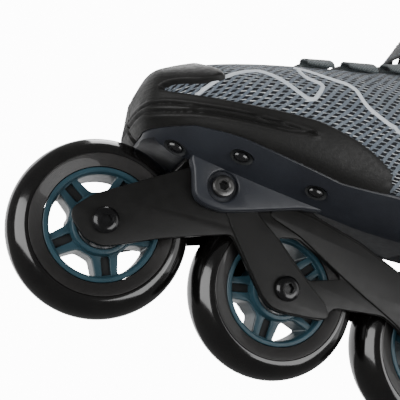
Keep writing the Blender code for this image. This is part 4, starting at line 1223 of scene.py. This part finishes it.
def make_upper():
    """The knit sock, its welded lines, and the binding round the throat and the ankle."""
    upper = sock("knit_upper", KNIT, 0.0, 0.0, 230, 400, nose=True)
    open_throat(upper, THROAT, THROAT_FLOOR)
    thicken(upper, 2.0)
    finish_piece(upper, "skate", "knit", "upper")
    section = dome_section(2.0, 0.55)
    seen_us, seen_vs = np.linspace(0.5, 9.0, 500), np.linspace(0.14, 0.49, 260)
    paths = {name: on_boot(smooth_line(line, 150), seen_us, seen_vs, 2)
             for name, line in (("front", WELD_FRONT), ("rear", WELD_REAR))}
    for side, mirror in (("left", False), ("right", True)):
        for name, path in paths.items():
            welded = line_on_boot(f"weld_{name}_{side}", path, section, PALE, mirror)
            finish_piece(welded, "skate", "knit")
    edge = [p for p in fillet(THROAT, 4.0, 4) if p[0] < 7]
    split = max(range(len(edge)), key=lambda i: math.dist(edge[i], edge[(i + 1) % len(edge)]))
    edge = smooth_line(edge[split + 1:] + edge[:split + 1], 200)
    path = smooth_rows(on_boot(edge, np.linspace(3.5, 9.0, 330), np.linspace(0.27, 0.73, 240), 1), 4)
    tape = line_on_boot("throat_binding", path, fillet(
        [(-1.9, -1.2), (1.9, -1.2), (1.9, 0.7), (-1.9, 0.7)], 0.7, 3), LOOP_WEB)
    finish_piece(tape, "skate", "webbing")
    v = np.linspace(-0.36, 0.36, 160)
    u = ankle_line(v)
    roll = sweep("ankle_binding", boot(u, v, -1.6), boot_normal(u, v), round_section(2.4, 14), LOOP_WEB)
    finish_piece(roll, "skate", "webbing")


def make_liner():
    liner = sock("liner_fabric", LINING, -3.2, 1.35, 90, 150)
    open_throat(liner, throat_outline(-86, 28, 32), THROAT_FLOOR)
    thicken(liner, 3.5)
    finish_piece(liner, "skate", "padding", "liner")


BED_ENDS = (2.2, 8.5)
# Share of the half width and share of the height, round one half of the foot bed's section.
BED_SECTION = ((0.5, 1.0), (0.95, 1.0), (0.985, 0.93), (1, 0.7), (0.97, 0.35), (0.6, 0.0))


def make_insole():
    """A moulded foot bed: flat on top, with a rolled edge."""
    toe, heel = BED_ENDS
    us = np.linspace(toe, heel, 80)
    rows = station(us)
    ends = np.sqrt(np.clip(np.minimum(us - toe, heel - us) / 0.5, 0, 1)) * 0.45 + 0.55
    half = rows[:, 4] * (0.66 - 0.14 * np.clip((us - 6.4) / 1.6, 0, 1)) * np.minimum(1, ends)
    under = boot_base(us, 0.0)[:, 0]
    low = np.maximum(boot(us, 0.06, -6.7)[:, 2], boot(us, 0.0, -6.7)[:, 2]) + 1.5
    low = np.minimum(low, FOOT_BED - 1.2)
    ring = [*((-share, height) for share, height in reversed(BED_SECTION)), (0, 1.0), *BED_SECTION, (0, 0.0)]
    section = [np.stack([under, rows[:, 5] + half * share, low + (FOOT_BED - low) * height], -1)
               for share, height in ring]
    insole = surface("insole_foam", at_mm(np.stack(section, 1)), FOAM, closed=True, caps=True)
    smooth(face_outward(insole), 60)
    finish_piece(insole, "skate", "padding", "insole")


# ---------------------------------------------------------------- padded pieces
def plump(name, node, mat, voxel, cap, shrink, pressure=4.0, frames=20):
    """Swell a pad's CAD solid as sewn cloth: remesh, inflate, cap how far it may move, subdivide."""
    pad = new_object(name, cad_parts[node].data.copy())
    face_outward(weld(pad, 20 * TOUCHING))
    remesh = pad.modifiers.new("voxels", "REMESH")
    remesh.mode = "VOXEL"
    remesh.voxel_size = voxel * MM
    pad = set_material(settle(pad), mat)
    count = len(pad.data.vertices)
    start = np.zeros(count * 3)
    pad.data.vertices.foreach_get("co", start)
    start = start.reshape(-1, 3)
    normals = np.array([v.normal for v in pad.data.vertices])
    start = start - normals * shrink * MM
    pad.data.vertices.foreach_set("co", start.ravel())
    pad.data.update()
    cloth = pad.modifiers.new("cloth", "CLOTH")
    cloth.settings.use_pressure = True
    cloth.settings.uniform_pressure_force = pressure
    cloth.settings.effector_weights.gravity = 0
    cloth.settings.quality = 5
    cloth.settings.tension_stiffness = 12
    cloth.settings.compression_stiffness = 12
    cloth.point_cache.frame_start = 1
    cloth.point_cache.frame_end = frames
    for number in range(1, frames + 1):
        bpy.context.scene.frame_set(number)
    evaluated = pad.evaluated_get(bpy.context.evaluated_depsgraph_get())
    moved = np.zeros(count * 3)
    evaluated.data.vertices.foreach_get("co", moved)
    step = moved.reshape(-1, 3) - start
    size = np.linalg.norm(step, axis=1, keepdims=True)
    step *= np.minimum(1, cap * MM / np.maximum(size, 1e-9))
    pad.modifiers.remove(cloth)
    bpy.context.scene.frame_set(1)
    pad.data.vertices.foreach_set("co", (start + step).ravel())
    pad.data.update()
    rounder = pad.modifiers.new("rounder", "SUBSURF")
    rounder.levels = rounder.render_levels = 1
    return smooth(settle(pad), 80)


def press(pad, depth, width, distance):
    """Sew channels into a pad: distance gives each vertex's distance in mm from the nearest seam."""
    co = np.array([v.co for v in pad.data.vertices]) / MM
    co[:, 2] += FOOT_BED
    normals = np.array([v.normal for v in pad.data.vertices])
    away = distance(co)
    co -= normals * (depth * np.exp(-(away / width) ** 2))[:, None]
    pad.data.vertices.foreach_set("co", at_mm(co).ravel())
    pad.data.update()
    return pad


def lay_on(pad, line, lift=0.0):
    """Bring a line in mm onto a pad's surface; returns the line and the surface's normals."""
    points, normals = [], []
    for place in at_mm(line):
        found, spot, normal, _ = pad.closest_point_on_mesh(Vector(place))
        points.append(np.array(spot) / MM + (0, 0, FOOT_BED) + np.array(normal) * lift)
        normals.append(np.array(normal))
    return smooth_rows(np.array(points), 3), smooth_rows(np.array(normals), 3)


def collar_bottom(v):
    return ankle_line(v) + 0.75 - 0.35 * np.cos(FULL_TURN * v) ** 2 \
        + 0.9 * (np.maximum(np.abs(v) - 0.25, 0) / 0.13)


COLLAR_SEAM = 13.62
COLLAR_RIM = 13.97


def make_collar():
    collar = plump("collar_pad", "collar", PAD_FABRIC, 2.6, 2.6, 1.3)
    seams = (196.0, 262.0)

    def distance(co):
        return np.min([np.abs(co[:, 2] - z - 0.10 * (co[:, 0] - 80)) for z in seams], axis=0)

    press(collar, 1.3, 2.0, distance)
    finish_piece(collar, "ankle_cuff", "padding", "collar")
    v = np.linspace(-0.37, 0.37, 220)
    line, normals = lay_on(collar, boot(COLLAR_SEAM, v, -1.0))
    seam = stitches("collar_stitches", line, normals, THREAD)
    finish_piece(seam, "ankle_cuff", "padding")
    edge = boot(COLLAR_RIM, v, -5.5)
    ups = np.broadcast_to(np.array([0, 0, 1.0]), edge.shape)
    bind = sweep("collar_binding", edge, ups, flat_section(8.0, 6.0, -3.8), LOOP_WEB)
    finish_piece(bind, "ankle_cuff", "webbing")


def make_tongue():
    tongue = plump("tongue_pad", "tongue", PAD_FABRIC, 2.2, 1.8, 0.9)

    def distance(co):
        channels = np.abs(np.abs(co[:, 1]) - 7.5)
        rows = np.abs((co[:, 0] + co[:, 2] * 0.4) % 22.0 - 11.0)
        return np.where(co[:, 2] > 150, np.minimum(channels, rows + 0.6), 9.0)

    press(tongue, 0.9, 1.5, distance)
    finish_piece(tongue, "skate", "padding", "tongue")
    for side, sign in SIDES:
        u = np.linspace(4.6, 8.7, 90)
        v = 0.5 + sign * np.interp(u, (4.6, 6.2, 7.3, 8.7), (0.078, 0.088, 0.082, 0.074))
        height = np.interp(u, (4.6, 6.85, 7.1, 7.3, 8.1, 8.5, 8.7), (-3, -3, 2, 6, 13, 18, 18))
        line, normals = lay_on(tongue, boot(u, v, height))
        row = stitches(f"tongue_stitches_{side}", line, normals, THREAD)
        finish_piece(row, "skate", "padding")


def make_shin_pad():
    pad = plump("shin_pad_fabric", "shin_pad", PAD_FABRIC, 2.6, 2.2, 1.2)

    def distance(co):
        return np.minimum(np.abs(np.abs(co[:, 1]) - 8.0), np.abs((co[:, 2] - 246) % 18.0 - 9.0) + 0.5)

    press(pad, 1.0, 1.7, distance)
    finish_piece(pad, "ankle_cuff", "padding", "shin_pad")


def make_fabric(name, points, thickness):
    """A sheet of lining that stretches between the boot and the cuff."""
    sheet = thicken(surface(name, at_mm(points), LINING), thickness)
    sheet = smooth(settle(sheet), 80)
    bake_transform(sheet)


def make_bridge():
    """Stretch fabric between the tongue and the shin pad, and round the ankle inside the collar."""
    t = np.linspace(0, 1, 46)[:, None]
    s = np.linspace(-1, 1, 24)[None]
    rise = np.interp(t, (0, 0.3, 0.7, 1.0), (14.0, 11.5, 11.5, 14.0))
    height = rise * (1 - np.abs(s) ** 3) - 1.0 * np.abs(s) ** 3
    wrinkle = 0.9 * np.sin(t * FULL_TURN * 4) * np.sin(t * math.pi) * (1 - s ** 2)
    front = boot(8.55 + (11.55 - 8.55) * t, 0.5 + (0.078 + 0.006 * t) * s, height + wrinkle)
    make_fabric("tongue_bridge", front, 3.0)
    t = np.linspace(0, 1, 40)[:, None]
    v = np.linspace(-0.38, 0.38, 150)[None]
    low, high = ankle_line(v) - 0.35, collar_bottom(v) + 0.45
    pleat = 0.45 * np.sin(t * FULL_TURN * 3.5) * np.sin(t * math.pi)
    ring = boot(low + (high - low) * t, v, -7.3 + pleat)
    make_fabric("ankle_gusset", ring, 1.6)


# ---------------------------------------------------------------- heel counter and cuff
def shell_piece(name, thickness, outer, u_low, u_high, reach, rows, cols, relief):
    """A moulded shell round the heel between two lines, drilled for the cuff's pivots."""
    t = np.linspace(0, 1, rows)[:, None]
    v = np.linspace(-reach, reach, cols)[None]
    points = boot(u_low(v) + (u_high(v) - u_low(v)) * t, v, outer + relief(v, t))
    obj = thicken(surface(name, at_mm(points), SHELL, lengths_of(points)), thickness)
    rims = obj.modifiers.new("rims", "BEVEL")
    rims.width = 0.55 * MM
    rims.segments = 2
    rims.limit_method = "ANGLE"
    rims.angle_limit = math.radians(50)
    drill = side_slab("drill", circle(*PIVOT, 4.0, 40), -80, 80, None)
    return smooth(cut(settle(obj), drill), 40)


def groove(value, middle, width, depth=0.5):
    return -depth * np.exp(-((value - middle) / width) ** 2)


PIVOT = (80.75, 177.5)
VENT_HEIGHTS = (232, 244, 256)


def counter_top(v):
    side = np.maximum(1 - np.abs(np.abs(v) - 0.25) / 0.09, 0)
    return 10.55 + 0.15 * np.cos(FULL_TURN * v) + 0.25 * side


def counter_bottom(v):
    beside = np.clip((np.abs(v) - 0.165) / 0.05, 0, 1)
    return 9.75 - 1.0 * beside * beside * (3 - 2 * beside)


def make_heel_counter():
    counter = shell_piece("heel_counter_detail", 2.2, 2.8, counter_bottom, counter_top, 0.27, 70, 150,
                          lambda v, t: groove(t, 0.16, 0.02) + groove(t, 0.84, 0.02))
    finish_piece(counter, "skate", "shell_plastic", "heel_counter")


def cuff_bottom(v):
    lobe = np.exp(-(np.abs(np.abs(v) - 0.25) / 0.07) ** 2)
    return 11.15 + 0.6 * np.maximum((np.abs(v) - 0.28) / 0.06, 0) - 1.65 * lobe


def cuff_top(v):
    return 13.75 - 0.35 * (np.abs(v) / 0.34) ** 2


def cuff_relief(v, t):
    """A line inside each edge, and a rib beside the heel on each side."""
    rib = smoothstep(0.12, 0.2, t) - smoothstep(0.8, 0.88, t)
    return groove(t, 0.06, 0.012) + groove(t, 0.94, 0.012) + groove(np.abs(v), 0.15, 0.006, 0.6) * rib


def make_cuff():
    cuff = shell_piece("cuff_detail", 2.4, 7.0, cuff_bottom, cuff_top, 0.34, 110, 190, cuff_relief)
    for low in VENT_HEIGHTS:
        outline = fillet([(-9, low), (9, low), (9, low + 5), (-9, low + 5)], 2.4, 5)
        vent = side_slab("vent", outline, -30, 30, None)
        vent.data.transform(Matrix.Translation((0.150, 0, 0)) @ Matrix.Rotation(math.pi / 2, 4, "Z"))
        cuff = cut(cuff, vent)
    finish_piece(smooth(cuff, 40), "ankle_cuff", "shell_plastic", "cuff")


def make_pivots():
    side = float(station(np.array(10.0))[4])
    base, head = side + 0.6, side + 8.5
    profile = [(0, base), (3.6, base), (3.6, head), (6.9, head), (7.2, head + 0.3), (7.2, head + 0.9),
               (6.2, head + 1.6), (4.6, head + 2.0), (3.0, head + 2.1), (2.7, head + 1.9)]
    for name, sign in SIDES:
        # The socket's floor in black steel: painted shade.
        parts = socket_head(profile, STEEL, 3.2, head + 0.5, head + 1.95, 2.2, (head + 0.2, head + 0.6),
                            BLACK_STEEL)
        pivot = join(f"cuff_pivot_detail_{name}", parts, 30)
        pivot.data.transform(Matrix.Rotation(-sign * math.pi / 2, 4, "X"))
        pivot.location = (PIVOT[0] * MM, 0, PIVOT[1] * MM + GROUND)
        finish_piece(pivot, "skate", "steel", f"cuff_pivot_{name}")


# ---------------------------------------------------------------- lacing
LOOP_STATIONS = (4.97, 5.56, 6.15)
LOOP_HALF = 0.19
LOOP_EDGE = 0.064


def make_lace_loops():
    """Folded webbing tabs: up over the lace, round, and back under, with a bar of stitches."""
    over = np.linspace(0.046, 0.0015, 14)
    bend = np.linspace(0, 1, 8)[1:]
    run = np.concatenate([over, -0.0035 * np.sin(bend * math.pi), np.linspace(0.003, 0.018, 4)])
    rise = np.concatenate([0.9 + 3.0 * np.sqrt(np.clip(1 - (over / 0.047) ** 2, 0, 1)),
                           3.9 - 3.3 * bend, np.full(4, 0.6)])
    for side, sign in SIDES:
        v = 0.5 + sign * (LOOP_EDGE + run)
        for number, u in enumerate(LOOP_STATIONS, start=1):
            line = boot(u, v, rise)
            ahead = boot(u + 0.1, v, rise) - boot(u - 0.1, v, rise)
            normals = unit(np.cross(np.gradient(line, axis=0), ahead))
            normals *= -1 if normals[0, 2] < 0 else 1
            width = 2 * LOOP_HALF / 0.2 * np.linalg.norm(ahead, axis=-1).mean()
            loop = sweep(f"lace_loop_detail_{side}_{number}", line, normals,
                         flat_section(width, 1.0, -0.5), LOOP_WEB)
            finish_piece(loop, "skate", "webbing", f"lace_loop_{side}_{number}")
            bar_u, bar_v = u + np.linspace(-0.15, 0.15, 20), 0.5 + sign * (LOOP_EDGE + 0.041)
            bar = stitches(f"loop_bar_{side}_{number}", boot(bar_u, bar_v, 2.6),
                           boot_normal(bar_u, bar_v), THREAD, 1.6, 1.2, 0.3)
            finish_piece(bar, "skate", "webbing")


def make_lace():
    """The lace runs side to side through the tabs, over the tongue."""
    points = []
    for row, u in enumerate(np.linspace(4.75, 6.45, 7)):
        s = np.linspace(-1, 1, 7)
        side = 1 if row % 2 else -1
        points.append(boot(u + 0.17 * (s + 1) / 2, 0.5 + side * s * 0.058, 2.1 + 1.2 * (1 - s * s)))
    line = smooth_line(np.concatenate(points), 420)
    ups = np.broadcast_to(np.array([0.2, 0, 1.0]), line.shape)
    lace = sweep("lace_cord", line, ups, round_section(1.45, 12), CORD)
    finish_piece(lace, "skate", "cord", "lace")


# ---------------------------------------------------------------- straps and buckle
CUFF_STRAP_CENTRE = (68.0, 0.0, 268.0)
CUFF_STRAP_AXES = (90.0, 59.0)
TOOTH_SECTION = ((-0.75, -0.3), (0.75, -0.3), (0.55, 0.1), (-0.35, 0.75))
STUD = ((0, 1.6), (2.6, 1.4), (4.0, 0.8), (4.4, 0.0), (4.4, -0.6), (0, -0.6))
STUD_ANGLE = -86
BUCKLE_ANGLE = math.radians(62)


def strap_points(angles):
    """Places and outward normals on the cuff strap's oval, at angles from its front."""
    cx, cy, cz = CUFF_STRAP_CENTRE
    a, b = CUFF_STRAP_AXES
    places = np.stack([cx - a * np.cos(angles), cy - b * np.sin(angles), np.full(angles.shape, cz)], -1)
    normals = np.stack([-np.cos(angles) / a, -np.sin(angles) / b, np.zeros(angles.shape)], -1)
    return places, unit(normals)


def make_cuff_strap():
    """The toothed strap, and the stud that holds its inner end to the cuff."""
    line, normals = strap_points(np.radians(np.linspace(-92, 80, 120)))
    parts = [sweep("cuff_strap_band", line, normals, fillet(
        [(-10, -2.1), (10, -2.1), (10, -0.1), (-10, -0.1)], 0.7, 3), SHELL)]
    for place, normal in zip(*strap_points(np.radians(np.arange(14, 46, 1.9)))):
        parts.append(sweep("tooth", np.array([place + (0, 0, -6.0), place + (0, 0, 6.0)]),
                           np.stack([normal, normal]), TOOTH_SECTION, SHELL))
    finish_piece(join("cuff_strap_detail", parts, 40), "ankle_cuff", "shell_plastic", "cuff_strap")
    place, normal = strap_points(np.radians([STUD_ANGLE]))
    stud = lathe("strap_stud_inner", STUD, STEEL, 48)
    apply_place(turn_to(stud, at_mm(place[0]), normal[0]))
    finish_piece(stud, "ankle_cuff", "steel")


LEVER_PIVOT = (13.0, 6.5)
LEVER_OUTLINE = ((2.3, -2.0), (2.3, 1.6), (-2, 2.7), (-14, 2.3), (-30, 2.0), (-40, 2.6), (-44, 2.6),
                 (-43.5, 0.6), (-38, -0.8), (-24, -1.6), (-10, -2.3), (-2, -2.7))


def buckle_seat():
    place, _ = strap_points(np.array([BUCKLE_ANGLE]))
    turn = math.atan2(-CUFF_STRAP_AXES[1] * math.cos(BUCKLE_ANGLE),
                      CUFF_STRAP_AXES[0] * math.sin(BUCKLE_ANGLE)) + math.pi
    return Matrix.Translation(at_mm(place[0])) @ Matrix.Rotation(turn, 4, "Z")


def make_buckle():
    """The base with its two ears, the lever with grip ribs, and the pin through both."""
    px, py = LEVER_PIVOT
    seat = buckle_seat()
    parts = [slab("plate", fillet([(-30, 0.6), (18, 0.6), (18, 3.0), (-27, 3.0), (-30, 2.2)], 0.8, 3),
                  -12.5, 12.5, SHELL, (), 0.5)]
    ear = fillet([(px - 6.5, 2.0), (px + 5.0, 2.0), (px + 4.5, 7.5), (px + 2.2, 10.4), (px - 2.2, 10.4),
                  (px - 4.5, 7.0)], 1.6, 4)
    for low, high in ((-12.5, -9.8), (9.8, 12.5)):
        parts.append(slab("ear", ear, low, high, SHELL, [circle(px, py, 1.7, 28)], 0.5))
    plate = join("buckle_base_detail", parts, 35)
    plate.data.transform(seat)
    finish_piece(plate, "ankle_cuff", "shell_plastic", "buckle_base")
    outline = fillet([(px + x, py + y) for x, y in LEVER_OUTLINE], 2.2, 4)
    parts = [slab("body", outline, -9.2, 9.2, SHELL, [circle(px, py, 1.6, 28)], 0.8)]
    for x in (px - 37.5, px - 34.5, px - 31.5):
        rib = [(x, py + 1.7), (x + 1.8, py + 1.7), (x + 1.4, py + 2.75), (x + 0.4, py + 2.75)]
        parts.append(slab("grip", fillet(rib, 0.3, 2), -6.5, 6.5, TRIM))
    lever = join("buckle_lever_detail", parts, 35)
    lever.data.transform(seat)
    finish_piece(lever, "lever", "shell_plastic", "buckle_lever")
    pin = lathe("lever_pin_detail", mirrored([(0, 13.0), (1.0, 12.95), (1.3, 12.6)]), STEEL, 32)
    pin.data.transform(seat @ Matrix.Translation((px * MM, py * MM, 0)))
    finish_piece(pin, "ankle_cuff", "steel", "lever_pin")


TAB_SPAN = slice(96, 138)


def make_instep_strap():
    """A webbing strap over the instep, its overlapping tab, and their stitches."""
    angles = np.radians(np.linspace(-90, 90, 90))
    x = 38 - 49.5 * np.cos(angles)
    arc = np.stack([x, -50 * np.sin(angles), 193 - 0.5 * (x + 20)], -1)
    ends = {s: np.array([(50, -50 * s * 0.985, 158), (66, -50 * s * 0.955, 150)]) for s in (1, -1)}
    line = smooth_line(np.concatenate([ends[-1][::-1], arc[::6], ends[1]]), 170)
    across = np.array((4.0, 0, 10.5))
    normals = unit(np.cross(np.gradient(line, axis=0), across))
    outward = (line - (38, 0, 0)) * (1, 1, 0)
    normals *= np.sign((normals * outward).sum(-1, keepdims=True))
    width = 2 * np.linalg.norm(across)
    strap = sweep("instep_strap_web", line, normals, flat_section(width, 1.6, -1.9), STRAP_WEB)
    finish_piece(strap, "skate", "webbing", "instep_strap")
    tab_line, tab_normals = line[TAB_SPAN], normals[TAB_SPAN]
    tab = sweep("instep_strap_tab", tab_line, tab_normals, flat_section(width * 0.9, 1.3, -0.4), STRAP_WEB)
    finish_piece(tab, "skate", "webbing")
    wide = unit(across) * width
    for name, share in (("upper", 0.41), ("lower", -0.41)):
        row = stitches(f"strap_stitches_{name}", line + wide * share, normals, THREAD, 3.2, 2.2, 0.3, -0.3)
        finish_piece(row, "skate", "webbing")
    for name, k in (("front", 3), ("rear", -4)):
        cross_line = np.linspace(tab_line[k] - wide * 0.3, tab_line[k] + wide * 0.3, 12)
        row = stitches(f"tab_stitches_{name}", cross_line, np.broadcast_to(tab_normals[k], (12, 3)),
                       THREAD, 1.8, 1.3, 0.32, 0.95)
        finish_piece(row, "skate", "webbing")


def make_pull_loop():
    """A webbing loop behind the heel, whose upper end lies over the collar's rim."""
    angles = np.radians(np.linspace(-80, 80, 50))
    line = np.stack([150.5 + 12 * np.cos(angles), 0 * angles, 284 + 15 * np.sin(angles)], -1)
    normals = np.stack([np.cos(angles) / 12, 0 * angles, np.sin(angles) / 15], -1)
    rim_line = [(149.5, 0, 299.6), (146.0, 0, 299.9), (142.0, 0, 299.6), (139.0, 0, 298.6)]
    rim_normals = [(0.05, 0, 1), (0, 0, 1), (-0.1, 0, 1), (-0.3, 0, 1)]
    line = np.concatenate([line, rim_line])
    normals = unit(np.concatenate([normals, rim_normals]))
    loop = sweep("pull_loop_web", line, normals, flat_section(14.0, 1.5, -1.55), STRAP_WEB)
    finish_piece(loop, "ankle_cuff", "webbing", "pull_loop")
    for name, sign in SIDES:
        row = stitches(f"pull_loop_stitches_{name}", line + (0, sign * 5.6, 0), normals, THREAD,
                       3.0, 2.0, 0.28, 0.0)
        finish_piece(row, "ankle_cuff", "webbing")


# ---------------------------------------------------------------- stage
FLOOR_HALF = 3.0
FLOOR_GAP = 0.0002
FLOOR_GLOW = 0.5
WORLD_LIT = 0.16
WORLD_SEEN = 13.0
WHITE = (1, 1, 1, 1)


def mix_shaders(tree, factor, first, second, output):
    """Feed an output with one shader where the factor is 0 and another where it is 1."""
    mix = tree.nodes.new("ShaderNodeMixShader")
    for socket, source in zip(mix.inputs, (factor, first, second)):
        tree.links.new(source, socket)
    tree.links.new(mix.outputs[0], tree.nodes[output].inputs[0])


def make_floor():
    """A pale floor that glows a little for the camera and is clear from below."""
    finish = Finish("floor_paint")
    shader = finish.shader
    finish.color((0.80, 0.80, 0.80, 1))
    finish.rough(0.8)
    finish.feed(shader.inputs["Emission Color"], WHITE)
    seen = finish.add("ShaderNodeLightPath").outputs["Is Camera Ray"]
    finish.feed(shader.inputs["Emission Strength"], finish.times(seen, FLOOR_GLOW))
    below = finish.add("ShaderNodeNewGeometry").outputs["Backfacing"]
    clear = finish.add("ShaderNodeBsdfTransparent").outputs[0]
    mix_shaders(finish.tree, below, shader.outputs[0], clear, "Material Output")
    mesh = bpy.data.meshes.new("floor")
    corners = [(FLOOR_HALF * x, FLOOR_HALF * y, 0) for x, y in ((-1, -1), (1, -1), (1, 1), (-1, 1))]
    mesh.from_pydata(corners, [], [(0, 1, 2, 3)])
    floor = new_object("floor", mesh, finish.mat, (0, 0, GROUND - FLOOR_GAP))
    floor.visible_glossy = False
    floor.visible_shadow = False


def make_world():
    """White behind the skate; much dimmer as a light."""
    world = bpy.data.worlds.new("studio")
    world.use_nodes = True
    bpy.context.scene.world = world
    nodes = world.node_tree.nodes
    lit, seen = nodes["Background"], nodes.new("ShaderNodeBackground")
    for background, strength in ((lit, WORLD_LIT), (seen, WORLD_SEEN)):
        background.inputs["Color"].default_value = WHITE
        background.inputs["Strength"].default_value = strength
    mix_shaders(world.node_tree, nodes.new("ShaderNodeLightPath").outputs["Is Camera Ray"],
                lit.outputs[0], seen.outputs[0], "World Output")


LIT_PLACE = Vector((-0.03, 0, -0.04))


def light_from(name, azimuth, elevation, distance, width, height, glow):
    """A softbox seen from the skate in a direction in degrees, with its surface brightness."""
    turn, lift = math.radians(azimuth), math.radians(elevation)
    way = Vector((math.cos(turn) * math.cos(lift), math.sin(turn) * math.cos(lift), math.sin(lift)))
    data = bpy.data.lights.new(name, "AREA")
    data.shape = "RECTANGLE"
    data.size, data.size_y = width, height
    data.energy = glow * math.pi * width * height
    lamp = new_object(name, data, place=LIT_PLACE + way * distance)
    lamp.rotation_mode = "QUATERNION"
    lamp.rotation_quaternion = (-way).to_track_quat("-Z", "Y")


def make_lights():
    light_from("left_softbox", -147, -9, 1.3, 1.3, 0.8, 4.6)
    light_from("right_softbox", -56, -8, 1.2, 0.75, 0.75, 4.4)
    light_from("side_fill", -25, 18, 1.5, 1.2, 1.2, 1.4)
    light_from("top_softbox", 80, 68, 1.4, 1.2, 1.1, 5.9)
    light_from("backdrop", 100, 10, 1.8, 2.6, 2.0, 1.3)


CAMERA_PLACE = (-154.47, -300.48, -24.88)
CAMERA_TURNS = (12.463, 16.971, 17.969)
CAMERA_LENS = 62.53


def make_camera():
    """The photograph's viewpoint: low, in front of the outer side, rolled a little."""
    data = bpy.data.cameras.new("camera")
    data.sensor_width = 36.0
    data.lens = CAMERA_LENS
    data.clip_start = 0.01
    camera = new_object("camera", data)
    yaw, pitch, roll = (math.radians(a) for a in CAMERA_TURNS)
    forward = Vector((math.sin(yaw) * math.cos(pitch), math.cos(yaw) * math.cos(pitch), math.sin(pitch)))
    right = Vector((math.cos(yaw), -math.sin(yaw), 0))
    upright = right.cross(forward)
    image_x = right * math.cos(roll) + upright * math.sin(roll)
    image_y = upright * math.cos(roll) - right * math.sin(roll)
    turn = Matrix((image_x, image_y, -forward)).transposed().to_4x4()
    camera.matrix_world = Matrix.Translation(at_mm(CAMERA_PLACE)) @ turn
    bpy.context.scene.camera = camera


# ---------------------------------------------------------------- assembly
for make in (make_camera, make_floor, make_world, make_lights, make_wheels, make_frame, make_base_plate,
             make_mount_bolts, make_toe_cap, make_upper, make_liner, make_insole, make_tongue,
             make_shin_pad, make_collar, make_bridge, make_heel_counter, make_cuff, make_pivots,
             make_lace_loops, make_lace, make_cuff_strap, make_buckle, make_instep_strap,
             make_pull_loop):
    make()
for wheel in range(1, len(AXLE_XS) + 1):
    set_material(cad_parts[f"bearing_spacer_{wheel}"], STEEL)
